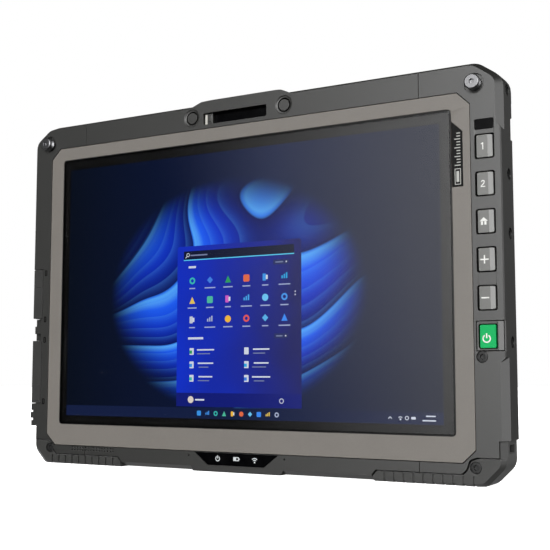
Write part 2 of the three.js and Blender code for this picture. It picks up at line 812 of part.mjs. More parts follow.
// L-shaped door: it closes the port bay at the side and laps onto the front face.
// It swings about the thin edge at its rear.
function portDoor([low, high], badge) {
  const section = [
    [-SIDE_X, DOOR_HINGE_Y],
    [-SIDE_X, EDGE_DEEP],
    [-SIDE_X + EDGE_IN, 0],
    [DOOR_LIP_X, 0],
    [DOOR_LIP_X, DOOR_WALL],
    [-136, DOOR_WALL],
    [-SIDE_X + DOOR_WALL, 4.4],
    [-SIDE_X + DOOR_WALL, DOOR_HINGE_Y],
  ];
  const shell = prism(section, 'z', low, high);
  const plug = block([-137.2, -134.6], [4.6, 12.4], [low + 1.6, high - 1.6]);
  const pad = block([-135.2, -131], [-0.3, 0.5], badge);
  return joined([shell, plug, pad]);
}

function doorRoom([low, high]) {
  const zs = [low - GAP, high + GAP];
  return joined([
    block([-150, DOOR_LIP_X + GAP], [-OUT, DOOR_WALL + 0.5], zs),
    block([-150, -135.5], [-OUT, 4.8], zs),
    block([-150, -SIDE_X + DOOR_WALL + GAP], [-OUT, DOOR_HINGE_Y + GAP], zs),
    block([-150, BAY_FLOOR_X], [DOOR_WALL + 0.4, 13.2], [low + 1, high - 1]),
  ]);
}

// Connectors stand on the bay floor, with their mouths towards the side.
function portBody(z, [depth, height]) {
  const ys = [PORT_Y - depth / 2, PORT_Y + depth / 2];
  return block([PORT_TIP_X, PORT_BACK_X], ys, [z - height / 2, z + height / 2]);
}

function portRoom(z, [depth, height]) {
  const ys = [PORT_Y - depth / 2 - GAP, PORT_Y + depth / 2 + GAP];
  return block([-131, -120], ys, [z - height / 2 - GAP, z + height / 2 + GAP]);
}

const USB_A = { z: -37, size: [6.2, 13.6] };
const USB_C = { z: 4.6, size: [3.6, 9.4] };
const AUDIO = { z: -7.4, size: [6.4, 6.4] };
const POWER_IN = { z: -53, size: [6.4, 9] };
const PORTS = [USB_A, USB_C, AUDIO, POWER_IN];

function usbAPort() {
  const mouth = block([-134, -118], [PORT_Y - 2.6, PORT_Y + 2.6], [USB_A.z - 6.2, USB_A.z + 6.2]);
  const tongueZs = [USB_A.z - 5.6, USB_A.z + 5.6];
  const tongue = block([-128.8, -117], [PORT_Y + 0.9, PORT_Y + 2.3], tongueZs);
  return cut(portBody(USB_A.z, USB_A.size), [mouth]).add(tongue);
}

function usbCPort() {
  const mouth = block([-134, -120], [PORT_Y - 1.3, PORT_Y + 1.3], [USB_C.z - 4.2, USB_C.z + 4.2]);
  const tongueZs = [USB_C.z - 3.3, USB_C.z + 3.3];
  const tongue = block([-128.8, -119], [PORT_Y - 0.35, PORT_Y + 0.35], tongueZs);
  return cut(portBody(USB_C.z, USB_C.size), [mouth]).add(tongue);
}

function audioJack() {
  return cut(portBody(AUDIO.z, AUDIO.size), [rod('x', [PORT_Y, AUDIO.z], 1.8, -134, -117, 20)]);
}

function powerJack() {
  const mouth = rod('x', [PORT_Y, POWER_IN.z], 2.8, -134, -119, 24);
  const pin = rod('x', [PORT_Y, POWER_IN.z], 0.9, -128.8, -118, 12);
  return cut(portBody(POWER_IN.z, POWER_IN.size), [mouth]).add(pin);
}

function releaseCap() {
  const [halfWidth, halfLength, proud] = CAP_GRIP;
  const disc = rod('x', [CAP_Y, CAP_Z], CAP_RADIUS, CAP_DISH_X - 1, CAP_DISH_X + 1, 28);
  const spigot = rod('x', [CAP_Y, CAP_Z], 2.4, CAP_DISH_X + 0.9, CAP_DISH_X + 4, 20);
  const grip = block(
    [CAP_DISH_X - proud, CAP_DISH_X - 0.9],
    [CAP_Y - halfLength, CAP_Y + halfLength],
    [CAP_Z - halfWidth, CAP_Z + halfWidth],
  );
  return joined([disc, spigot, grip]);
}

function capRoom() {
  return joined([
    rod('x', [CAP_Y, CAP_Z], CAP_DISH, -150, CAP_DISH_X, 32),
    rod('x', [CAP_Y, CAP_Z], CAP_RADIUS + GAP, -150, CAP_DISH_X + 1.4, 28),
    rod('x', [CAP_Y, CAP_Z], 2.4 + GAP, CAP_DISH_X + 1.3, CAP_DISH_X + 4.6, 20),
  ]);
}

function leftSideFrame() {
  const upper = block([-200, -TOP_SEAM_X], [-OUT, RING_Y + OUT], [0, 200]);
  const lower = block([-200, BOTTOM_SEAM_LEFT], [-OUT, RING_Y + OUT], [-200, 0]);
  const thumbNotches = [[-19.4, -14.9], [-27.4, -23.4]].map((zs) => {
    return block([-150, -130.4], [-OUT, 5.4], zs);
  });
  // Between the doors the front edge is cut back.
  const cutBack = prism([[-133.8, -1], [-150, -1], [-150, 16.5]], 'z', -24, -18);
  return cut(ring.intersect(upper.add(lower)), [
    doorRoom(DOOR_UPPER),
    doorRoom(DOOR_LOWER),
    ...PORTS.map(({ z, size }) => portRoom(z, size)),
    ...thumbNotches,
    cutBack,
    block([-140, -130], TETHER_HOLE_Y, TETHER_HOLE_Z),
    capRoom(),
    speakerOpening,
    studRoom(-STUD_X),
    ...bumperScrewRooms,
  ]);
}

add('left_side_frame', leftSideFrame(), housing);
add('port_door_upper', portDoor(DOOR_UPPER, [3, 12]), rubber);
add('port_door_lower', portDoor(DOOR_LOWER, [-61.4, -52.4]), rubber);
add('usb_a_port', usbAPort(), steel);
add('usb_c_port', usbCPort(), steel);
add('audio_jack', audioJack(), blackPlastic);
add('power_jack', powerJack(), blackPlastic);
add('release_cap', releaseCap(), rubber);

// ---------------------------------------------------------------- electronics

const BOARD_Y = [8.6, 9.8];
const BOARD_Z = [-6, 76];

function mainBoard() {
  const plate = block([-104, 100], BOARD_Y, BOARD_Z);
  const chips = [
    block([12, 34], [BOARD_Y[1] - 0.1, 10.6], [24, 44]),
    block([-70, -52], [BOARD_Y[1] - 0.1, 11.4], [10, 30]),
    block([-40, -30], [BOARD_Y[1] - 0.1, 11], [50, 66]),
  ];
  return joined([plate, ...chips]);
}

// Copper plate over the processor, with a stack of low fins.
function heatSpreader() {
  const plate = block([0, 92], [11, 12], [6, 70]);
  const fins = Array.from({ length: 9 }, (_, i) => {
    const x = 46 + i * 5;
    return block([x, x + 1], [11.9, 15], [10, 66]);
  });
  return joined([plate, ...fins]);
}

function speakerModule() {
  const box = block([-105.6, -76.4], [7.8, RING_Y - 1], [-89, -81.2]);
  return box.add(block([-103, -79], [6.8, 7.9], [-88.6, -85.4]));
}

add('main_board', mainBoard(), board);
add('heat_spreader', heatSpreader(), copper);
add('storage_module', block([-28, -6], [11.2, 14], [4, 46]), blackPlastic);
add('speaker_module', speakerModule(), blackPlastic);
add('radio_antenna', block([20, 96], [8.2, 8.8], [77, 79.6]), copper);

// ---------------------------------------------------------------- rear cover and battery

// Slot that a battery latch slides in.
function latchRoom(x) {
  const xs = [x - 9 - LATCH_TRAVEL - GAP, x + 9 + GAP];
  return block(xs, [21.1, BACK_Y + OUT], [LATCH_Z - 3.3, LATCH_Z + 3.3]);
}

function batteryLatch(x) {
  const slider = block([x - 9, x + 9], [21.5, 23], [LATCH_Z - 3, LATCH_Z + 3]);
  const ridges = [-4, 0, 4].map((shift) => {
    return block([x + shift - 0.8, x + shift + 0.8], [22.9, 23.5], [LATCH_Z - 2.4, LATCH_Z + 2.4]);
  });
  return joined([slider, ...ridges]);
}

// Stylus with a flat head that reaches the side wall, in a groove open to the rear.
function stylus() {
  const place = [STYLUS_X, STYLUS_Y];
  const [low] = STYLUS_Z;
  const barrel = rod('z', place, STYLUS_RADIUS, low + 12, STYLUS_HEAD_Z + 0.5, 16);
  const tip = rod('z', place, 0.9, low, low + 12.1, 16, STYLUS_RADIUS);
  const head = prism(
    [[128.5, 18], [138.2, 18], [138.2, 18.4], [134.4, 22.6], [128.5, 22.6]],
    'z',
    STYLUS_HEAD_Z,
    STYLUS_Z[1],
  );
  return joined([barrel, tip, head]);
}

function rearCover() {
  const body = bevelled(bodyOutline(), -20, BACK_Y, REAR_IN, 6);
  const shell = body.intersect(block([-200, 200], [COVER_Y, BACK_Y], [-200, 200]));
  const opening = cutCornerRectangle(DECK_X, BEZEL_LOW, BEZEL_HIGH, 1);
  const room = prism(opening, 'y', 0, BACK_Y - COVER_SKIN);
  const tub = block(
    [BATTERY_X[0] - GAP - TUB_WALL, BATTERY_X[1] + GAP + TUB_WALL],
    [BATTERY_FLOOR - GAP - TUB_WALL, BACK_Y - 1],
    [BATTERY_Z[0] - GAP - TUB_WALL, BATTERY_Z[1] + GAP + TUB_WALL],
  );
  const bay = block(
    [BATTERY_X[0] - GAP, BATTERY_X[1] + GAP],
    [BATTERY_FLOOR - GAP, BACK_Y + OUT],
    [BATTERY_Z[0] - GAP, BATTERY_Z[1] + GAP],
  );
  const latchTubs = LATCH_X.map((x) => {
    return block([x - 16, x + 12], [19.8, BACK_Y - 1], [LATCH_Z - 4.4, LATCH_Z + 4.4]);
  });
  const screwBosses = REAR_SCREWS.map((place) => {
    return rod('y', place, 4.6, COVER_Y - 0.2, BACK_Y - 1, 16);
  });
  const screwRooms = REAR_SCREWS.map((place) => joined([
    rod('y', place, 2.9, BACK_Y - 2.5, BACK_Y + OUT, 18),
    rod('y', place, 1.6, 10, BACK_Y - 2.4, 8),
  ]));
  const grooveZs = [STYLUS_Z[0] - 0.5, STYLUS_Z[1] + 0.4];
  const stylusGroove = block([128, 134.3], [15, BACK_Y + OUT], grooveZs);
  const fingerNotch = block([134, 142], [15, BACK_Y + OUT], [NOTCH_Z[0], STYLUS_Z[1] + 0.4]);
  const cameraRoom = rod('y', REAR_CAMERA, 8.3, 15, BACK_Y + OUT, 28);
  const crownRoom = prism(
    [[-30, TOP_Z - 3], [30, TOP_Z - 3], [24, TOP_Z + 0.4], [-24, TOP_Z + 0.4]],
    'y',
    COVER_Y,
    BACK_Y - 3,
  );
  const hollow = joined([cut(shell, [room]), crownRoom, tub, ...latchTubs, ...screwBosses]);
  return cut(hollow, [
    bay,
    ...LATCH_X.map(latchRoom),
    ...screwRooms,
    stylusGroove,
    fingerNotch,
    cameraRoom,
    bumperRooms,
  ]);
}

function batteryPack() {
  const pack = block(BATTERY_X, [BATTERY_FLOOR, BATTERY_BACK], BATTERY_Z);
  const pull = block([-20, 2], [20, BACK_Y + OUT], [BATTERY_Z[1] - 8, BATTERY_Z[1] + 1]);
  return cut(pack, [pull]);
}

function rearCamera() {
  const plate = rod('y', REAR_CAMERA, 8, 21.2, 23.2, 28);
  return plate.add(rod('y', REAR_CAMERA, 5, 15.6, 21.3, 20));
}

add('rear_cover', rearCover(), housing);
add('battery_pack', batteryPack(), blackPlastic);
add('battery_latch_left', batteryLatch(LATCH_X[0]), blackPlastic);
add('battery_latch_right', batteryLatch(LATCH_X[1]), blackPlastic);
add('rear_camera', rearCamera(), blackGloss);
add('stylus', stylus(), blackPlastic);

// ---------------------------------------------------------------- origin

// Bottom centre of the box round the whole instrument, studs included.
tablet.position.set(0, -(BACK_Y - STUD_PROUD) / 2, -BASE_Z);

export default tablet;
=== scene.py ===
"""Looks of the rugged field tablet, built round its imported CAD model.

Everything is in metres in the model's own frame. Flat art on the instrument (the lit
screen, key legends, lamps and icons) is laid out in millimetres from the centre of the
screen, and turned into metres by the function place().
"""
import math

import bpy
from mathutils import Matrix, Vector


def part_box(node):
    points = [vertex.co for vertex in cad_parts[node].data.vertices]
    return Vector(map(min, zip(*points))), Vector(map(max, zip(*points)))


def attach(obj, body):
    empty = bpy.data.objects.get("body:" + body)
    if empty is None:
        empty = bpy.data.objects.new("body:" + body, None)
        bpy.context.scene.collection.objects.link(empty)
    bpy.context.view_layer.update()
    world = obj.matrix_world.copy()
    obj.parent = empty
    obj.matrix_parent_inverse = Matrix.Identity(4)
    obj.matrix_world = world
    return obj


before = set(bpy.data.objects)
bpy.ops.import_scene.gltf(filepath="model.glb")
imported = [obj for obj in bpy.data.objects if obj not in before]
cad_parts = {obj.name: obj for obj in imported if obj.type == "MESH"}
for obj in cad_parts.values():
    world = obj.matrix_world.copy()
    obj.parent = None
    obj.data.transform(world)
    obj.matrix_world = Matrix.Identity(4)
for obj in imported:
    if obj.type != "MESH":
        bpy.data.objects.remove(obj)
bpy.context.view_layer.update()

MM = 0.001
BODY = "tablet"

# ------------------------------------------------------------------ places

bezel_low, bezel_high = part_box("front_bezel")
glass_low, glass_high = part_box("cover_glass")
panel_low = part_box("display_panel")[0]

GLASS_BELOW_CENTRE = 73.7  # millimetres of glass below the centre of the screen
LIT_HALF_X = 110.4  # half of the lit area, across and up
LIT_HALF_Z = 69.0
LIT_CENTRE_X = -1.0

PANEL_CENTRE = (0.0, -21.2)  # launcher panel on the screen
PANEL_SIZE = (74.0, 83.4)

centre_x = (bezel_low.x + bezel_high.x) / 2
centre_z = glass_low.z + GLASS_BELOW_CENTRE * MM
front_y = bezel_low.y


def place(x, y, z):
    """A point given in millimetres from the centre of the screen, y behind the bezel."""
    return Vector((centre_x + x * MM, front_y + y * MM, centre_z + z * MM))


def depth_of(y):
    """Millimetres behind the bezel's face of a place given in metres."""
    return (y - front_y) / MM


def middle_of(node):
    """Centre of a node's face, in the millimetres that place() takes."""
    low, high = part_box(node)
    x = ((low.x + high.x) / 2 - centre_x) / MM
    z = ((low.z + high.z) / 2 - centre_z) / MM
    return x, z


# ------------------------------------------------------------------ colours


def rgb(red, green, blue):
    """Linear colour from the usual 0 to 255 display values."""
    def linear(value):
        share = value / 255
        return share / 12.92 if share <= 0.04045 else ((share + 0.055) / 1.055) ** 2.4

    return (linear(red), linear(green), linear(blue), 1.0)


def scaled(colour, factor):
    return tuple(min(1.0, channel * factor) for channel in colour[:3]) + (1.0,)


# ------------------------------------------------------------------ material nodes


class Nodes:
    """A node tree with short ways to add to it."""

    def __init__(self, tree, coordinates):
        self.tree = tree
        self.coordinates = tree.nodes.new("ShaderNodeTexCoord").outputs[coordinates]

    def link(self, source, target):
        self.tree.links.new(source, target)

    def node(self, kind, **inputs):
        made = self.tree.nodes.new(kind)
        for name, value in inputs.items():
            made.inputs[name.replace("_", " ")].default_value = value
        return made

    def noise(self, size_mm, detail=2.0, roughness=0.5, coordinates=None):
        """Noise whose features are about size_mm across."""
        made = self.node("ShaderNodeTexNoise", Scale=1 / (size_mm * MM), Detail=detail)
        made.inputs["Roughness"].default_value = roughness
        self.link(coordinates or self.coordinates, made.inputs["Vector"])
        return made.outputs["Fac"]

    def ramp(self, source, stops):
        """Colour ramp from (position, colour) stops."""
        made = self.tree.nodes.new("ShaderNodeValToRGB")
        elements = made.color_ramp.elements
        while len(elements) < len(stops):
            elements.new(0.5)
        for element, (position, colour) in zip(elements, stops):
            element.position = position
            element.color = colour
        self.link(source, made.inputs["Fac"])
        return made.outputs["Color"]

    def between(self, source, low, high):
        """The source, taken as 0 to 1, as a number from low to high."""
        made = self.tree.nodes.new("ShaderNodeMapRange")
        made.inputs["To Min"].default_value = low
        made.inputs["To Max"].default_value = high
        self.link(source, made.inputs["Value"])
        return made.outputs["Result"]

    def mixed(self, factor, first, second, mode="MIX"):
        made = self.tree.nodes.new("ShaderNodeMix")
        made.data_type = "RGBA"
        made.blend_type = mode
        for socket, value in ((0, factor), (6, first), (7, second)):
            if isinstance(value, bpy.types.NodeSocket):
                self.link(value, made.inputs[socket])
            else:
                made.inputs[socket].default_value = value
        return made.outputs[2]

    def maths(self, operation, first, second=0.0):
        made = self.tree.nodes.new("ShaderNodeMath")
        made.operation = operation
        for index, value in enumerate((first, second)):
            if isinstance(value, bpy.types.NodeSocket):
                self.link(value, made.inputs[index])
            else:
                made.inputs[index].default_value = value
        return made.outputs[0]


EDGE_STARTS = 0.995  # cosine between rounded and flat normals where an edge starts
EDGE_FULL = 0.86  # and where it counts in full


class Material(Nodes):
    """A material made of one shader, with its patterns in the object's own metres."""

    def __init__(self, name):
        self.material = bpy.data.materials.new(name)
        self.material.use_nodes = True
        super().__init__(self.material.node_tree, "Object")
        self.shader = self.tree.nodes["Principled BSDF"]

    def bump(self, layers):
        """Stacks bump layers of (height socket, distance in mm, strength)."""
        normal = None
        for height, distance, strength in layers:
            made = self.tree.nodes.new("ShaderNodeBump")
            made.inputs["Distance"].default_value = distance * MM
            made.inputs["Strength"].default_value = strength
            self.link(height, made.inputs["Height"])
            if normal is not None:
                self.link(normal, made.inputs["Normal"])
            normal = made.outputs["Normal"]
        self.link(normal, self.shader.inputs["Normal"])

    def edges(self, radius_mm):
        """Near 1 on edges that the bevel sampler rounds, 0 on flat stretches."""
        bevel = self.tree.nodes.new("ShaderNodeBevel")
        bevel.samples = 4
        bevel.inputs["Radius"].default_value = radius_mm * MM
        geometry = self.tree.nodes.new("ShaderNodeNewGeometry")
        dot = self.tree.nodes.new("ShaderNodeVectorMath")
        dot.operation = "DOT_PRODUCT"
        self.link(bevel.outputs["Normal"], dot.inputs[0])
        self.link(geometry.outputs["Normal"], dot.inputs[1])
        spread = self.tree.nodes.new("ShaderNodeMapRange")
        spread.inputs["From Min"].default_value = EDGE_STARTS
        spread.inputs["From Max"].default_value = EDGE_FULL
        self.link(dot.outputs["Value"], spread.inputs["Value"])
        return spread.outputs["Result"]


CLOUD_MM = 14  # size of the faint clouding in plastic
RUBBED_HIGHLIGHT_WIDTH = 0.35  # millimetres of an edge that are painted lighter, partly as rubbed wear and partly as a painted highlight
# how much lighter the edges are painted, for rubbed wear and a painted highlight
RUBBED_HIGHLIGHT_LIGHTER = 2.4
ROUGHNESS_SPREAD = 0.07


def moulded(
    name, colour, roughness, grain_mm=0.45, grain=0.35, variation=0.1, wear_and_highlight=0.25, shine=0.5
):
    """Moulded plastic with a sparked grain, faint clouding and edges painted lighter: partly
    rubbed wear, partly a painted highlight.
    """
    n = Material(name)
    n.shader.inputs["Specular IOR Level"].default_value = shine
    clouds = n.noise(CLOUD_MM, detail=3)
    speckle = n.noise(grain_mm, detail=1.5, roughness=0.6)
    tint = n.ramp(
        n.maths("ADD", n.maths("MULTIPLY", clouds, 0.4), n.maths("MULTIPLY", speckle, 0.6)),
        [(0.3, scaled(colour, 1 - variation)), (0.7, scaled(colour, 1 + variation))],
    )
    # Edges painted lighter: partly rubbed wear, partly a painted highlight on the rounding.
    rubbed_and_highlit = n.maths("MULTIPLY", n.edges(RUBBED_HIGHLIGHT_WIDTH), wear_and_highlight)
    rubbed_highlight_colour = scaled(colour, RUBBED_HIGHLIGHT_LIGHTER)
    n.link(n.mixed(rubbed_and_highlit, tint, rubbed_highlight_colour), n.shader.inputs["Base Color"])
    low, high = roughness - ROUGHNESS_SPREAD, roughness + ROUGHNESS_SPREAD
    n.link(n.between(speckle, low, high), n.shader.inputs["Roughness"])
    n.bump([
        (n.noise(grain_mm * 1.7, detail=2), 0.06, grain),
        (speckle, 0.035, grain),
    ])
    return n.material


def rubbery(name, colour, roughness=0.72, shine=0.35):
    """Matte rubber with a fine skin and dusty patches."""
    n = Material(name)
    dust = n.noise(9, detail=4, roughness=0.6)
    skin = n.noise(0.3, detail=2)
    tint = n.ramp(dust, [(0.35, scaled(colour, 0.86)), (0.75, scaled(colour, 1.25))])
    n.link(tint, n.shader.inputs["Base Color"])
    n.link(n.between(dust, roughness - 0.06, roughness + 0.1), n.shader.inputs["Roughness"])
    n.shader.inputs["Specular IOR Level"].default_value = shine
    n.shader.inputs["Sheen Weight"].default_value = 0.12
    n.bump([(skin, 0.02, 0.4)])
    return n.material


def metal(name, colour, roughness, brushed_mm=0.12):
    """Turned or brushed metal with fine scratches round its roughness."""
    n = Material(name)
    mapping = n.tree.nodes.new("ShaderNodeMapping")
    mapping.inputs["Scale"].default_value = (1, 0.15, 1)
    n.link(n.coordinates, mapping.inputs["Vector"])
    stretched = mapping.outputs["Vector"]
    scratches = n.noise(brushed_mm, detail=3, roughness=0.7, coordinates=stretched)
    n.link(
        n.ramp(scratches, [(0.3, scaled(colour, 0.82)), (0.7, scaled(colour, 1.06))]),
        n.shader.inputs["Base Color"],
    )
    n.shader.inputs["Metallic"].default_value = 1.0
    n.link(n.between(scratches, roughness - 0.06, roughness + 0.1), n.shader.inputs["Roughness"])
    n.bump([(scratches, 0.004, 0.3)])
    return n.material


def glossy_black(name):
    """Polished black window with faint smears."""
    n = Material(name)
    smear = n.noise(5, detail=4)
    n.link(
        n.ramp(smear, [(0.4, rgb(3, 3, 4)), (0.8, rgb(9, 9, 10))]),
        n.shader.inputs["Base Color"],
    )
    n.link(n.between(smear, 0.06, 0.2), n.shader.inputs["Roughness"])
    n.shader.inputs["Specular IOR Level"].default_value = 0.08
    return n.material


def satin_black(name):
    """Black print-coated plastic that hardly shines."""
    n = Material(name)
    speckle = n.noise(0.3, detail=2)
    n.link(
        n.ramp(speckle, [(0.3, rgb(9, 9, 9)), (0.7, rgb(17, 17, 17))]),
        n.shader.inputs["Base Color"],
    )
    n.link(n.between(speckle, 0.4, 0.6), n.shader.inputs["Roughness"])
    n.shader.inputs["Specular IOR Level"].default_value = 0.12
    n.bump([(speckle, 0.01, 0.3)])
    return n.material


def distance_inside(n, place_along, low, high):
    """How far a coordinate lies inside the nearer of two limits."""
    above = n.maths("SUBTRACT", place_along, low)
    below = n.maths("SUBTRACT", high, place_along)
    return n.maths("MINIMUM", above, below)


GLASS_RIM = 0.7  # millimetres of the glass that are blackened along its edges


def clear_glass(name):
    """Clear cover glass with a blackened rim and a trace of smears in its polish."""
    n = Material(name)
    split = n.tree.nodes.new("ShaderNodeSeparateXYZ")
    n.link(n.coordinates, split.inputs[0])
    from_side = distance_inside(n, split.outputs["X"], glass_low.x, glass_high.x)
    from_end = distance_inside(n, split.outputs["Z"], glass_low.z, glass_high.z)
    from_edge = n.maths("MINIMUM", from_side, from_end)
    n.link(
        n.mixed(n.maths("GREATER_THAN", from_edge, GLASS_RIM * MM), (0, 0, 0, 1), (1, 1, 1, 1)),
        n.shader.inputs["Base Color"],
    )
    n.shader.inputs["Transmission Weight"].default_value = 1.0
    n.shader.inputs["IOR"].default_value = 1.5
    n.link(n.between(n.noise(18, detail=4), 0.0, 0.035), n.shader.inputs["Roughness"])
    return n.material


def printed(name, colour, roughness=0.5, shine=0.5):
    """Printed ink or a moulded-in symbol, slightly uneven; also the pale strip on the camera
    shutter.
    """
    n = Material(name)
    n.shader.inputs["Specular IOR Level"].default_value = shine
    patchy = n.noise(0.5, detail=2)
    n.link(
        n.ramp(patchy, [(0.3, scaled(colour, 0.9)), (0.7, colour)]),
        n.shader.inputs["Base Color"],
    )
    n.shader.inputs["Roughness"].default_value = roughness
    return n.material


def backing(name, colour):
    """Dark ink on the back of the glass, with a faint shine of its own."""
    n = Material(name)
    n.link(
        n.ramp(n.noise(4), [(0.3, scaled(colour, 0.8)), (0.7, scaled(colour, 1.2))]),
        n.shader.inputs["Base Color"],
    )
    n.shader.inputs["Roughness"].default_value = 0.25
    n.shader.inputs["Specular IOR Level"].default_value = 0.25
    return n.material


def circuit(name):
    """Lacquered board with tracks and small bright pads."""
    n = Material(name)
    tracks = n.tree.nodes.new("ShaderNodeTexBrick")
    tracks.inputs["Scale"].default_value = 160
    tracks.inputs["Color1"].default_value = rgb(20, 84, 48)
    tracks.inputs["Color2"].default_value = rgb(16, 66, 38)
    tracks.inputs["Mortar"].default_value = rgb(60, 120, 70)
    tracks.inputs["Mortar Size"].default_value = 0.03
    n.link(n.coordinates, tracks.inputs["Vector"])
    n.link(tracks.outputs["Color"], n.shader.inputs["Base Color"])
    n.shader.inputs["Roughness"].default_value = 0.35
    n.bump([(tracks.outputs["Fac"], 0.03, 0.3)])
    return n.material


def lit(name, colour, strength=1.0):
    """A lit part of the display: all its light is its own, through a fine pixel grid."""
    n = Material(name)
    grid = n.noise(0.35, detail=0)
    n.shader.inputs["Base Color"].default_value = (0, 0, 0, 1)
    n.shader.inputs["Roughness"].default_value = 0.6
    n.shader.inputs["Specular IOR Level"].default_value = 0.0
    n.link(
        n.ramp(grid, [(0.3, scaled(colour, 0.93)), (0.7, colour)]),
        n.shader.inputs["Emission Color"],
    )
    n.shader.inputs["Emission Strength"].default_value = strength
    return n.material


# Wallpaper: silk ribbons that run up to the right and fade out round the middle.
RIBBON_LEAN = math.radians(128)  # direction across the ribbons, from +X towards +Z
RIBBON_WIDTH = 27.0
RIBBON_SWAY = 92.0  # how far the ribbons wander
PLEAT_WIDTH = 6.1
RIBBON_MIDDLE = (-4.0, -6.0)
RIBBON_REACH = (78.0, 62.0)


def lit_wallpaper(name):
    """Night-blue wallpaper with wide blue ribbons, each with finer pleats along it."""
    n = Material(name)
    split = n.tree.nodes.new("ShaderNodeSeparateXYZ")
    n.link(n.coordinates, split.inputs[0])
    x = n.maths("MULTIPLY", n.maths("SUBTRACT", split.outputs["X"], centre_x), 1 / MM)
    z = n.maths("MULTIPLY", n.maths("SUBTRACT", split.outputs["Z"], centre_z), 1 / MM)
    night = n.ramp(
        n.maths("ADD", n.maths("MULTIPLY", x, 1 / 220), 0.5),
        [
            (0.0, rgb(2, 10, 27)),
            (0.35, rgb(7, 19, 50)),
            (0.6, rgb(20, 32, 68)),
            (1.0, rgb(14, 22, 46)),
        ],
    )
    sway = n.between(n.noise(105, detail=0.6), -RIBBON_SWAY, RIBBON_SWAY)
    across = n.maths(
        "ADD",
        n.maths("MULTIPLY", x, math.cos(RIBBON_LEAN)),
        n.maths("MULTIPLY", z, math.sin(RIBBON_LEAN)),
    )
    wandering = n.maths("ADD", across, sway)
    ribbon = n.ramp(
        n.maths("FRACT", n.maths("DIVIDE", wandering, RIBBON_WIDTH)),
        [
            (0.0, rgb(6, 20, 92)),
            (0.45, rgb(14, 52, 196)),
            (0.8, rgb(28, 92, 244)),
            (0.955, rgb(84, 168, 255)),
            (0.985, rgb(40, 112, 236)),
            (1.0, rgb(6, 20, 92)),
        ],
    )
    pleat = n.maths("FRACT", n.maths("DIVIDE", wandering, PLEAT_WIDTH))
    crease = n.maths("MULTIPLY", n.maths("POWER", pleat, 3.0), 0.16)
    pleated = n.mixed(crease, ribbon, rgb(90, 170, 255), "SCREEN")
    off_x = n.maths("DIVIDE", n.maths("SUBTRACT", x, RIBBON_MIDDLE[0]), RIBBON_REACH[0])
    off_z = n.maths("DIVIDE", n.maths("SUBTRACT", z, RIBBON_MIDDLE[1]), RIBBON_REACH[1])
    squares = n.maths("ADD", n.maths("MULTIPLY", off_x, off_x), n.maths("MULTIPLY", off_z, off_z))
    inside = n.tree.nodes.new("ShaderNodeMapRange")
    inside.interpolation_type = "SMOOTHSTEP"
    inside.inputs["From Min"].default_value = 1.0
    inside.inputs["From Max"].default_value = 0.35
    n.link(squares, inside.inputs["Value"])
    n.shader.inputs["Base Color"].default_value = (0, 0, 0, 1)
    n.shader.inputs["Specular IOR Level"].default_value = 0.0
    n.link(n.mixed(inside.outputs["Result"], night, pleated), n.shader.inputs["Emission Color"])
    n.shader.inputs["Emission Strength"].default_value = 1.0
    return n.material


def lit_panel(name, left, right):
    """A lit sheet that darkens from its left side to its right side."""
    n = Material(name)
    split = n.tree.nodes.new("ShaderNodeSeparateXYZ")
    n.link(n.coordinates, split.inputs[0])
    middle = centre_x + PANEL_CENTRE[0] * MM
    half = PANEL_SIZE[0] / 2 * MM
    reach = n.tree.nodes.new("ShaderNodeMapRange")
    reach.inputs["From Min"].default_value = middle - half
    reach.inputs["From Max"].default_value = middle + half
    n.link(split.outputs["X"], reach.inputs["Value"])
    n.shader.inputs["Base Color"].default_value = (0, 0, 0, 1)
    n.shader.inputs["Specular IOR Level"].default_value = 0.0
    clouds = n.noise(26, detail=1)
    across = n.maths("MULTIPLY", reach.outputs["Result"], 0.75)
    blend = n.maths("ADD", across, n.maths("MULTIPLY", clouds, 0.35))
    n.link(n.ramp(blend, [(0.1, left), (0.9, right)]), n.shader.inputs["Emission Color"])
    n.shader.inputs["Emission Strength"].default_value = 1.0
    return n.material


# ------------------------------------------------------------------ the materials

housing = moulded(
    "housing_plastic", rgb(31, 31, 29), 0.41, grain_mm=0.3, grain=0.3, wear_and_highlight=0.5, shine=1.0
)
taupe = moulded(
    "bezel_plastic", rgb(107, 103, 98), 0.5, grain_mm=0.5, grain=0.3, variation=0.06, wear_and_highlight=0.12
)
key_plastic = moulded("key_plastic", rgb(80, 80, 77), 0.36, grain=0.15, wear_and_highlight=0.35, shine=1.0)
green_plastic = moulded(
    "power_key_plastic", rgb(4, 158, 84), 0.5, grain=0.1, variation=0.04, wear_and_highlight=0.05, shine=0.2
)
bumper_rubber = rubbery("bumper_rubber", rgb(33, 33, 31), roughness=0.5, shine=0.75)
door_rubber = rubbery("door_rubber", rgb(40, 40, 39))
membrane_rubber = rubbery("membrane_rubber", rgb(40, 40, 40))
dark_plastic = moulded("dark_plastic", rgb(30, 30, 30), 0.5, grain=0.25, wear_and_highlight=0.1)
battery_plastic = moulded("battery_plastic", rgb(46, 46, 45), 0.58, wear_and_highlight=0.2)
inlay_black = satin_black("inlay_black")
black_window = glossy_black("black_window")
bright_steel = metal("stud_steel", rgb(132, 132, 134), 0.3)
black_steel = metal("black_screw_steel", rgb(62, 62, 62), 0.5)
dark_steel = metal("dark_screw_steel", rgb(34, 34, 34), 0.5)
cast_metal = metal("chassis_metal", rgb(160, 162, 164), 0.5, brushed_mm=1.2)
copper_metal = metal("copper", rgb(190, 116, 76), 0.35)
board_lacquer = circuit("board_lacquer")
cover_glass = clear_glass("cover_glass")
white_ink = printed("white_ink", rgb(214, 214, 210))
grey_ink = printed("grey_ink", rgb(168, 168, 164))
# pale grey colour of the strip on the camera shutter's step
shutter_strip_paint = printed("shutter_strip_paint", rgb(184, 182, 175))
black_ink = printed("black_ink", rgb(8, 8, 8), 0.7, shine=0.05)
panel_black = backing("panel_black", rgb(4, 4, 5))

# ------------------------------------------------------------------ CAD nodes

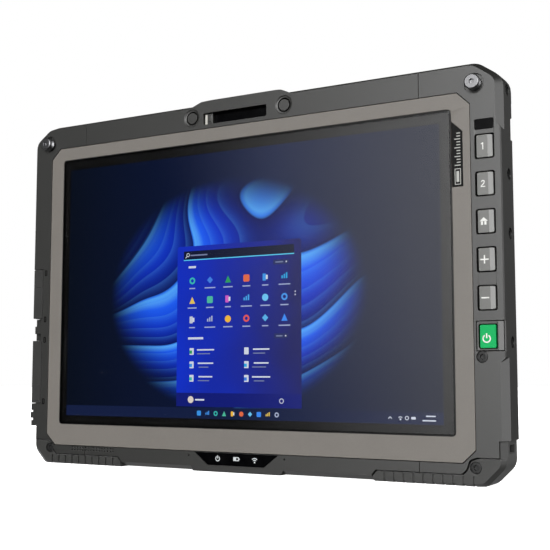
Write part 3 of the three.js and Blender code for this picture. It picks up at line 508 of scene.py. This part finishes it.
# Each row is nodes, material and rounding of their edges in millimetres.
FINISHES = [
    (["left_side_frame", "right_side_frame", "top_bar", "bottom_bar"], housing, 0.35),
    (["rear_cover"], housing, 0.25),
    (["handle_plug_left", "handle_plug_right", "camera_shutter"], housing, 0.15),
    (["power_key_surround"], housing, 0.2),
    (["front_bezel"], taupe, 0.3),
    (["key_p1", "key_p2", "key_home", "key_plus", "key_minus"], key_plastic, 0.28),
    (["key_power"], green_plastic, 0.28),
    (["bumper_lower_left", "bumper_lower_right"], bumper_rubber, 0.3),
    (["port_door_upper", "port_door_lower", "release_cap"], door_rubber, 0.25),
    (["keypad_membrane"], membrane_rubber, 0.1),
    (["cover_glass"], cover_glass, 0.12),
    (["display_panel"], panel_black, 0.1),
    (["status_window", "light_sensor_window", "camera_window", "rear_camera"], black_window, 0.1),
    (["label_inlay"], inlay_black, 0.1),
    (["camera_module", "audio_jack", "power_jack", "dock_connector"], dark_plastic, 0.1),
    (["speaker_module", "storage_module"], dark_plastic, 0.2),
    (["battery_latch_left", "battery_latch_right", "stylus"], dark_plastic, 0.2),
    (["battery_pack"], battery_plastic, 0.4),
    (["corner_stud_left", "corner_stud_right", "usb_a_port", "usb_c_port"], bright_steel, 0.12),
    (["front_screw_side", "bumper_screw_left", "bumper_screw_right"], black_steel, 0.12),
    ([f"side_screw_{i}" for i in range(1, 5)], dark_steel, 0.12),
    ([f"rear_screw_{i}" for i in range(1, 5)], black_steel, 0.12),
    (["mid_frame"], cast_metal, 0.2),
    (["main_board"], board_lacquer, 0.05),
    (["heat_spreader", "radio_antenna"], copper_metal, 0.1),
]
BEVEL_ANGLE = math.radians(21)


def finish_node(node, material, rounding_mm):
    """Gives a CAD node its material and rounds its edges without touching its mesh."""
    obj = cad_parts[node]
    obj.material_slots[0].material = material
    obj.data.polygons.foreach_set("use_smooth", [True] * len(obj.data.polygons))
    weld = obj.modifiers.new("weld", "WELD")
    weld.merge_threshold = 0.002 * MM
    rounding = obj.modifiers.new("rounding", "BEVEL")
    rounding.width = rounding_mm * MM
    rounding.segments = 2
    rounding.limit_method = "ANGLE"
    rounding.angle_limit = BEVEL_ANGLE
    rounding.use_clamp_overlap = True
    rounding.face_strength_mode = "FSTR_AFFECTED"
    normals = obj.modifiers.new("normals", "WEIGHTED_NORMAL")
    normals.use_face_influence = True


for nodes, material, rounding_mm in FINISHES:
    for node in nodes:
        finish_node(node, material, rounding_mm)

# ------------------------------------------------------------------ flat art

STEPS = 20  # points round a full circle


def arc(x, z, radius, start=0.0, end=360.0):
    """Points on an arc, in degrees from +X towards +Z."""
    count = max(3, round(STEPS * abs(end - start) / 360))
    closed = abs(end - start) >= 360
    spans = count if closed else count - 1
    angles = [math.radians(start + (end - start) * i / spans) for i in range(count)]
    return [(x + radius * math.cos(a), z + radius * math.sin(a)) for a in angles]


def disc(x, z, radius):
    return [arc(x, z, radius)]


def band(x, z, radius, width, start, end):
    """Curved band between two angles."""
    outer = arc(x, z, radius + width / 2, start, end)
    inner = arc(x, z, radius - width / 2, start, end)
    return [outer + inner[::-1]]


def hoop(x, z, radius, width):
    return band(x, z, radius, width, 0, 180) + band(x, z, radius, width, 180, 360)


def slab(x, z, width, height, corner=0.0):
    """Rectangle with rounded corners."""
    half_w, half_h = width / 2, height / 2
    if corner <= 0:
        return [[
            (x - half_w, z - half_h),
            (x + half_w, z - half_h),
            (x + half_w, z + half_h),
            (x - half_w, z + half_h),
        ]]
    points = []
    for sign_x, sign_z, start in ((1, 1, 0), (-1, 1, 90), (-1, -1, 180), (1, -1, 270)):
        middle_x = x + sign_x * (half_w - corner)
        middle_z = z + sign_z * (half_h - corner)
        points += arc(middle_x, middle_z, corner, start, start + 90)
    return [points]


def frame_lines(x, z, width, height, line):
    """Rectangle drawn as four bars."""
    return (
        slab(x, z + (height - line) / 2, width, line)
        + slab(x, z - (height - line) / 2, width, line)
        + slab(x - (width - line) / 2, z, line, height - 2 * line)
        + slab(x + (width - line) / 2, z, line, height - 2 * line)
    )


def stroke(start, end, width):
    """Straight bar from one point to another."""
    (x0, z0), (x1, z1) = start, end
    length = math.hypot(x1 - x0, z1 - z0)
    side_x = -(z1 - z0) / length * width / 2
    side_z = (x1 - x0) / length * width / 2
    return [[
        (x0 - side_x, z0 - side_z),
        (x1 - side_x, z1 - side_z),
        (x1 + side_x, z1 + side_z),
        (x0 + side_x, z0 + side_z),
    ]]


STAGGER = 0.0006  # keeps crossing plates of one piece off each other's plane


def art(name, shapes, front, thickness, body=BODY):
    """One piece of flat art: closed plates from (outlines, material) pairs.

    front is the depth of its face behind the bezel, in millimetres.
    """
    verts, faces, indices, materials = [], [], [], []
    for outlines, material in shapes:
        if material not in materials:
            materials.append(material)
        index = materials.index(material)
        for points in outlines:
            base, count = len(verts), len(points)
            face = front - STAGGER * (len(indices) % 7)
            verts += [place(x, face, z) for x, z in points]
            verts += [place(x, front + thickness, z) for x, z in points]
            faces.append([base + i for i in range(count)])
            faces.append([base + count + i for i in reversed(range(count))])
            for i in range(count):
                j = (i + 1) % count
                faces.append([base + i, base + count + i, base + count + j, base + j])
            indices += [index] * (count + 2)
    mesh = bpy.data.meshes.new(name)
    mesh.from_pydata([tuple(v) for v in verts], [], faces)
    for material in materials:
        mesh.materials.append(material)
    mesh.polygons.foreach_set("material_index", indices)
    mesh.validate()
    obj = bpy.data.objects.new(name, mesh)
    bpy.context.scene.collection.objects.link(obj)
    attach(obj, body)
    return obj


# ------------------------------------------------------------------ the lit screen

GLASS_BACK = depth_of(glass_high.y)
PANEL_FRONT = depth_of(panel_low.y)
SHEET = 0.01  # thickness of a layer of screen art
LAYER = 0.016  # from one layer to the next
FIRST_LAYER = PANEL_FRONT - 0.02


def layer(index):
    """Depth of a screen layer: 0 is the wallpaper and higher ones lie in front."""
    return FIRST_LAYER - index * LAYER


def screen_border():
    """Black print on the back of the glass, from the lit area out to the glass edge."""
    x0 = LIT_CENTRE_X - LIT_HALF_X
    x1 = LIT_CENTRE_X + LIT_HALF_X
    low_x = ((glass_low.x - centre_x) / MM) + 0.4
    high_x = ((glass_high.x - centre_x) / MM) - 0.4
    low_z = ((glass_low.z - centre_z) / MM) + 0.4
    high_z = ((glass_high.z - centre_z) / MM) - 0.4
    outlines = [
        [(low_x, low_z), (x0, low_z), (x0, high_z), (low_x, high_z)],
        [(x1, low_z), (high_x, low_z), (high_x, high_z), (x1, high_z)],
        [(x0, LIT_HALF_Z), (x1, LIT_HALF_Z), (x1, high_z), (x0, high_z)],
        [(x0, low_z), (x1, low_z), (x1, -LIT_HALF_Z), (x0, -LIT_HALF_Z)],
    ]
    shapes = [(outlines, panel_black)]
    art("glass_border_print", shapes, GLASS_BACK + 0.03, 0.05)


INK_WHITE = rgb(214, 220, 235)
INK_GREY = rgb(120, 130, 168)
CYAN = rgb(92, 208, 245)
ICON_COLOURS = [
    rgb(60, 190, 180),
    rgb(66, 130, 230),
    rgb(46, 160, 96),
    rgb(232, 108, 70),
    rgb(60, 150, 235),
    rgb(40, 170, 230),
    rgb(235, 200, 90),
    rgb(80, 190, 160),
    rgb(214, 96, 200),
    rgb(70, 170, 240),
    rgb(110, 200, 250),
    rgb(70, 150, 240),
    rgb(200, 206, 220),
    rgb(170, 180, 210),
    rgb(250, 190, 60),
    rgb(235, 90, 80),
    rgb(90, 180, 240),
    rgb(60, 140, 250),
]
lamps = {}


def lamp(colour):
    """The lit material of a colour, made once."""
    if colour not in lamps:
        lamps[colour] = lit(f"screen_light_{len(lamps) + 1}", colour)
    return lamps[colour]


def icon_shapes(kind, x, z, size, colour):
    """One generic icon: the kind picks from a few plain figures."""
    half = size / 2
    back = lamp(colour)
    front = lamp(INK_WHITE)
    if kind == 0:
        return [(hoop(x, z, half * 0.75, half * 0.5), back)]
    if kind == 1:
        return [(slab(x, z, size, size, half * 0.4), back)]
    if kind == 2:
        return [(disc(x, z, half), back)]
    if kind == 3:
        return [([[(x - half, z - half), (x + half, z - half), (x, z + half)]], back)]
    if kind == 4:
        bars = []
        for step in (-1, 0, 1):
            height = size * (0.6 + 0.2 * step)
            bars += slab(x + step * half * 0.7, z + step * half * 0.2, half * 0.45, height)
        return [(bars, back)]
    if kind == 5:
        return [([[(x - half, z), (x, z - half), (x + half, z), (x, z + half)]], back)]
    return [
        (slab(x - half * 0.3, z, size * 0.55, size, 0.3), back),
        (slab(x + half * 0.5, z, size * 0.3, size * 0.6), front),
    ]


ICON_KINDS = 7
ICON_COLUMNS = 6
ICON_FIRST = (-27.5, 2.2)
ICON_PITCH = (11.0, 10.2)
ICON_SIZE = 3.6
FILE_ROWS = 3
FILE_XS = (-27.6, 5.6)
FILE_FIRST_Z = -34.6
FILE_PITCH = 6.9


def launcher():
    """Launcher panel: search bar, a grid of icons, a list of files and a footer."""
    middle_x, middle_z = PANEL_CENTRE
    width, height = PANEL_SIZE
    sheet = lit_panel("launcher_light", rgb(16, 50, 205), rgb(27, 30, 96))
    shapes = [(slab(middle_x, middle_z, width, height, 1.2), sheet)]
    art("launcher_panel", shapes, layer(1), SHEET)
    bars = [
        (slab(0, 15.7, 66, 4.4, 0.5), lamp(rgb(14, 22, 52))),
        (slab(0, 13.2, 66, 0.5), lamp(CYAN)),
        (slab(25.6, 9.4, 9.2, 2.6, 0.5), lamp(rgb(34, 44, 100))),
        (slab(25.6, -27.4, 8.2, 2.6, 0.5), lamp(rgb(34, 44, 100))),
        (slab(0, -59.4, width, 7.0), lamp(rgb(17, 28, 120))),
    ]
    art("launcher_bars", bars, layer(2), SHEET)

    magnifier = hoop(-30.3, 15.9, 0.85, 0.35) + stroke((-31.0, 15.2), (-31.9, 14.3), 0.4)
    marks = [
        (magnifier, lamp(INK_WHITE)),
        (slab(-23.5, 15.6, 10.5, 0.7), lamp(INK_GREY)),
        (slab(-27.6, 9.4, 4.6, 1.1), lamp(INK_WHITE)),
        (slab(-25.2, -27.8, 9.4, 1.1), lamp(INK_WHITE)),
        (slab(24.6, 9.4, 4.4, 0.6) + slab(24.6, -27.4, 3.6, 0.6), lamp(INK_GREY)),
        (slab(28.6, 9.4, 0.7, 0.7) + slab(28.2, -27.4, 0.7, 0.7), lamp(INK_WHITE)),
        (disc(-28.0, -59.4, 1.8), lamp(rgb(226, 214, 204))),
        (slab(-22.4, -59.4, 5.6, 0.8), lamp(INK_WHITE)),
        (hoop(25.8, -59.4, 1.1, 0.35), lamp(INK_WHITE)),
        (disc(33.6, -5.6, 0.35) + disc(33.6, -7.2, 0.35), lamp(INK_WHITE)),
    ]
    for index, colour in enumerate(ICON_COLOURS):
        row, column = divmod(index, ICON_COLUMNS)
        x = ICON_FIRST[0] + ICON_PITCH[0] * column
        z = ICON_FIRST[1] - ICON_PITCH[1] * row
        marks += icon_shapes((index * 5 + row) % ICON_KINDS, x, z, ICON_SIZE, colour)
        caption = slab(x, z - 4.0, ICON_SIZE + (index * 7) % 4, 0.6)
        marks.append((caption, lamp(rgb(160, 172, 212))))
    for row in range(FILE_ROWS):
        for column, x in enumerate(FILE_XS):
            z = FILE_FIRST_Z - FILE_PITCH * row
            colour = ICON_COLOURS[(row * 2 + column + 2) % 6]
            marks += [
                (slab(x, z, 2.6, 3.5, 0.3), lamp(INK_WHITE)),
                (slab(x - 0.5, z - 0.3, 1.6, 1.7), lamp(colour)),
                (slab(x + 8.6, z + 0.8, 10.5 - (row + column) % 3, 0.7), lamp(INK_WHITE)),
                (slab(x + 7.4, z - 1.2, 8.0 - (row * 2 + column) % 3, 0.5), lamp(INK_GREY)),
            ]
    art("launcher_marks", marks, layer(3), SHEET)


TASK_BAR_Z = -66.2
TASK_BAR_HEIGHT = 5.6
TASK_ICONS = 10
TASK_ICON_FIRST_X = -22.8
TASK_ICON_PITCH = 5.1
TASK_ICON_SIZE = 2.5


def task_bar():
    """Strip along the lower edge with small icons and a tray."""
    z = TASK_BAR_Z
    strip_slab = slab(LIT_CENTRE_X, z, 2 * LIT_HALF_X, TASK_BAR_HEIGHT)
    strip = [(strip_slab, lamp(rgb(18, 30, 66)))]
    art("task_strip", strip, layer(1), SHEET)
    marks = []
    for index in range(TASK_ICONS):
        colour = ICON_COLOURS[(index * 7 + 4) % len(ICON_COLOURS)]
        x = TASK_ICON_FIRST_X + TASK_ICON_PITCH * index
        marks += icon_shapes((index * 3 + 1) % ICON_KINDS, x, z, TASK_ICON_SIZE, colour)
    chevron = stroke((82.4, z - 0.5), (83.3, z + 0.5), 0.35)
    chevron += stroke((83.3, z + 0.5), (84.2, z - 0.5), 0.35)
    marks += [
        (chevron, lamp(INK_WHITE)),
        (band(88.4, z - 0.8, 1.3, 0.4, 45, 135) + disc(88.4, z - 0.6, 0.45), lamp(INK_WHITE)),
        (hoop(91.6, z, 0.8, 0.35), lamp(INK_WHITE)),
        (slab(94.8, z, 2.2, 1.2, 0.3), lamp(INK_WHITE)),
        (slab(103.2, z + 1.0, 4.6, 0.6) + slab(102.4, z - 1.0, 6.4, 0.6), lamp(INK_WHITE)),
    ]
    art("task_marks", marks, layer(2), SHEET)


def glass_gasket():
    """Black seal in the gap between the glass and the bezel."""
    x = ((glass_low.x + glass_high.x) / 2 - centre_x) / MM
    z = ((glass_low.z + glass_high.z) / 2 - centre_z) / MM
    width = (glass_high.x - glass_low.x) / MM
    height = (glass_high.z - glass_low.z) / MM
    front = depth_of(glass_low.y) + 0.12
    loops = []
    for grow, y in ((0.04, front), (0.22, front), (0.22, GLASS_BACK), (0.04, GLASS_BACK)):
        [points] = slab(x, z, width + 2 * grow, height + 2 * grow, 1.2 + grow)
        loops.append([place(px, y, pz) for px, pz in points])
    count = len(loops[0])
    faces = []
    for ring in range(4):
        for i in range(count):
            j = (i + 1) % count
            this, that = ring * count, (ring + 1) % 4 * count
            faces.append([this + i, this + j, that + j, that + i])
    mesh = bpy.data.meshes.new("glass_gasket")
    mesh.from_pydata([tuple(point) for loop in loops for point in loop], [], faces)
    mesh.materials.append(membrane_rubber)
    obj = bpy.data.objects.new("glass_gasket", mesh)
    bpy.context.scene.collection.objects.link(obj)
    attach(obj, BODY)


screen_border()
glass_gasket()
art(
    "screen_wallpaper",
    [(slab(LIT_CENTRE_X, 0, 2 * LIT_HALF_X, 2 * LIT_HALF_Z), lit_wallpaper("wallpaper_light"))],
    layer(0),
    SHEET,
)
launcher()
task_bar()

# ------------------------------------------------------------------ printed marks

INK_THICKNESS = 0.02


def on_face(node):
    """Depth for ink that stands just proud of a node's front face."""
    return depth_of(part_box(node)[0].y) - INK_THICKNESS / 2


def power_mark(x, z, radius, line):
    return band(x, z, radius, line, -240, 60) + slab(x, z + radius * 0.75, line, radius * 1.3)


def figure_one(x, z, height, line):
    stem_x = x + height * 0.08
    flag = stroke((x - height * 0.18, z + height * 0.28), (stem_x, z + height * 0.47), line)
    return slab(stem_x, z, line, height) + flag


def figure_two(x, z, height, line):
    radius = height * 0.26
    return (
        band(x, z + height / 2 - radius, radius - line / 2, line, -25, 180)
        + stroke((x + radius * 0.8, z + height * 0.13), (x - radius, z - height / 2 + line), line)
        + slab(x, z - height / 2 + line / 2, radius * 2 + line, line)
    )


def home_mark(x, z, size):
    half = size / 2
    roof = [[(x - half, z + half * 0.05), (x + half, z + half * 0.05), (x, z + half)]]
    walls = slab(x - half * 0.42, z - half * 0.42, half * 0.5, half * 0.84)
    walls += slab(x + half * 0.42, z - half * 0.42, half * 0.5, half * 0.84)
    return roof + walls


def plus_mark(x, z):
    return slab(x, z, 3.8, 0.6) + slab(x, z + 1.1, 0.6, 1.6) + slab(x, z - 1.1, 0.6, 1.6)


LEGEND_SHIFT = -0.9  # the grey caps slope back on their right, so marks sit left of the middle


def key_legends():
    """White marks on the flat left part of each cap, moving with it."""
    marks = {
        "key_p1": lambda x, z: figure_one(x, z, 3.2, 0.45),
        "key_p2": lambda x, z: figure_two(x, z, 3.2, 0.45),
        "key_home": lambda x, z: home_mark(x, z, 3.8),
        "key_plus": plus_mark,
        "key_minus": lambda x, z: slab(x, z, 3.6, 0.6),
        "key_power": lambda x, z: power_mark(x + 0.3, z - 1.0, 1.65, 0.6),
    }
    for node, draw in marks.items():
        x, z = middle_of(node)
        shapes = [(draw(x + LEGEND_SHIFT, z), white_ink)]
        art(f"{node}_legend", shapes, on_face(node), INK_THICKNESS, body=f"{node}_body")


STATUS_Z = -88.5


def status_lamps():
    """White lamp symbols on the smoked status window."""
    z = STATUS_Z
    lamp_light = lit("status_lamp_light", rgb(225, 230, 232))
    signal = disc(11.2, z - 1.2, 0.4)
    for ring in (1.1, 2.0):
        signal += band(11.2, z - 1.2, ring, 0.42, 45, 135)
    cell = frame_lines(0.4, z, 3.2, 1.9, 0.4)
    cell += slab(-0.2, z, 1.2, 1.0) + slab(2.3, z, 0.4, 0.8)
    shapes = [
        (power_mark(-10.5, z - 0.2, 1.15, 0.4), lamp_light),
        (cell, lamp_light),
        (signal, lamp_light),
    ]
    art("status_lamps", shapes, on_face("status_window"), INK_THICKNESS)


def inlay_pattern():
    """Scale-like bars on the black inlay beside the glass."""
    low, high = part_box("label_inlay")
    x = ((low.x + high.x) / 2 - centre_x) / MM
    z0 = (low.z - centre_z) / MM
    outlines = frame_lines(x + 0.1, z0 + 4.6, 2.9, 7.4, 0.3)
    outlines += slab(x + 0.1, z0 + 4.6, 1.3, 5.0, 0.3)
    for index in range(12):
        long = index % 3 == 0
        shift, width = (0.1, 2.8) if long else (0.6, 1.8)
        outlines += slab(x + shift, z0 + 9.8 + 1.35 * index, width, 0.45)
    art("inlay_marks", [(outlines, grey_ink)], on_face("label_inlay"), INK_THICKNESS)


SHUTTER_STEP = 1.5  # depth of the step beside the shutter's grip


def shutter_strip():
    """Pale grey strip on the step beside the grip of the camera shutter, moving with it."""
    low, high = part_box("camera_shutter")
    x = (low.x - centre_x) / MM + 0.75
    z = ((low.z + high.z) / 2 - centre_z) / MM - 0.2
    # pale grey strip at the left end of the shutter, beside its grip
    shapes = [(slab(x, z, 1.4, 5.4), shutter_strip_paint)]
    front = SHUTTER_STEP - INK_THICKNESS / 2
    art("shutter_strip", shapes, front, INK_THICKNESS, body="camera_shutter_body")


PORT_MARK_X = -127.4
PORT_MARK_ZS = (11.0, -15.4, -27.0, -61.6)


def port_marks():
    """Small dark signs beside the port doors, at their ends."""
    x = PORT_MARK_X
    for index, z in enumerate(PORT_MARK_ZS):
        outlines = slab(x - 0.6, z, 0.6, 3.2) + slab(x + 0.5, z, 0.7, 2.4)
        outlines += slab(x, z + 1.4, 1.4, 0.4) + slab(x, z - 1.4, 1.4, 0.4)
        art(f"port_mark_{index + 1}", [(outlines, black_ink)], -INK_THICKNESS / 2, INK_THICKNESS)


key_legends()
status_lamps()
inlay_pattern()
shutter_strip()
port_marks()

# ------------------------------------------------------------------ camera, light, floor

LENS_MM = 65.87
SENSOR_MM = 36.0
CAMERA_PLACE = (268.7, -432.9, -45.4)
CAMERA_FORWARD = (-0.49149, 0.86553, 0.09635)
FLOOR_RADIUS = 3.0
FLOOR_GLOW = 1.0


def add_camera():
    data = bpy.data.cameras.new("camera")
    data.lens = LENS_MM
    data.sensor_width = SENSOR_MM
    data.clip_start = 0.01
    data.clip_end = 50.0
    obj = bpy.data.objects.new("camera", data)
    forward = Vector(CAMERA_FORWARD).normalized()
    right = forward.cross(Vector((0, 0, 1))).normalized()
    up = right.cross(forward)
    turn = Matrix((right, up, -forward)).transposed()
    obj.matrix_world = Matrix.Translation(place(*CAMERA_PLACE)) @ turn.to_4x4()
    bpy.context.scene.collection.objects.link(obj)
    bpy.context.scene.camera = obj


def add_floor():
    """Pale round floor that only the camera sees, so that the black glass stays black."""
    bpy.ops.mesh.primitive_circle_add(vertices=96, radius=FLOOR_RADIUS, fill_type="NGON")
    floor = bpy.context.object
    floor.name = "floor"
    floor.visible_glossy = False
    floor.visible_transmission = False
    floor.visible_diffuse = False
    n = Material("floor_paint")
    n.link(
        n.ramp(n.noise(60, detail=3), [(0.3, rgb(246, 246, 246)), (0.7, rgb(250, 250, 250))]),
        n.shader.inputs["Base Color"],
    )
    n.shader.inputs["Roughness"].default_value = 0.9
    n.shader.inputs["Specular IOR Level"].default_value = 0.0
    n.shader.inputs["Emission Color"].default_value = (1, 1, 1, 1)
    n.shader.inputs["Emission Strength"].default_value = FLOOR_GLOW
    floor.data.materials.append(n.material)


def aimed(azimuth, elevation):
    """Unit vector; azimuth in degrees from straight in front of the screen towards +X."""
    turn, lift = math.radians(azimuth), math.radians(elevation)
    return Vector((
        math.sin(turn) * math.cos(lift),
        -math.cos(turn) * math.cos(lift),
        math.sin(lift),
    ))


# Soft boxes of the studio: direction, degrees from there to where they start to fade and
# to where they end, and brightness.
SOFT_BOXES = [
    (aimed(15, 15), 26, 50.5, 1.2),
    (aimed(4, 14), 6, 21, 7.0),
    (aimed(42, 11), 9, 30, 3.6),
    (aimed(113, 8), 12, 36, 1.8),
    (aimed(235, -54), 20, 50, 0.35),
]
STUDIO_FILL = 0.03


def add_world():
    """White to the camera; to the object, a dim room with wide soft boxes."""
    world = bpy.data.worlds.new("studio")
    bpy.context.scene.world = world
    world.use_nodes = True
    n = Nodes(world.node_tree, "Generated")
    total = STUDIO_FILL
    for direction, inner, outer, brightness in SOFT_BOXES:
        dot = n.tree.nodes.new("ShaderNodeVectorMath")
        dot.operation = "DOT_PRODUCT"
        n.link(n.coordinates, dot.inputs[0])
        dot.inputs[1].default_value = direction
        fade = n.tree.nodes.new("ShaderNodeMapRange")
        fade.interpolation_type = "SMOOTHSTEP"
        fade.inputs["From Min"].default_value = math.cos(math.radians(outer))
        fade.inputs["From Max"].default_value = math.cos(math.radians(inner))
        fade.inputs["To Max"].default_value = brightness
        n.link(dot.outputs["Value"], fade.inputs["Value"])
        total = n.maths("ADD", total, fade.outputs["Result"])
    seen = n.tree.nodes.new("ShaderNodeLightPath").outputs["Is Camera Ray"]
    strength = n.maths("MAXIMUM", total, seen)
    n.link(strength, n.tree.nodes["Background"].inputs["Strength"])
    n.tree.nodes["Background"].inputs["Color"].default_value = (1, 1, 1, 1)


def add_distant_light(name, source, energy, width):
    """Wide matte light from the direction of source; width is in degrees."""
    data = bpy.data.lights.new(name, "SUN")
    data.energy = energy
    data.angle = math.radians(width)
    obj = bpy.data.objects.new(name, data)
    obj.rotation_euler = source.to_track_quat("Z", "Y").to_euler()
    obj.visible_glossy = False
    bpy.context.scene.collection.objects.link(obj)


add_camera()
add_floor()
add_world()
add_distant_light("top_light", Vector((0, 0, 1)), 0.3, 80)
add_distant_light("back_light", aimed(195, 14), 4.5, 50)
add_distant_light("side_light", aimed(268, 12), 3.0, 40)
bpy.context.scene.view_settings.view_transform = "Standard"
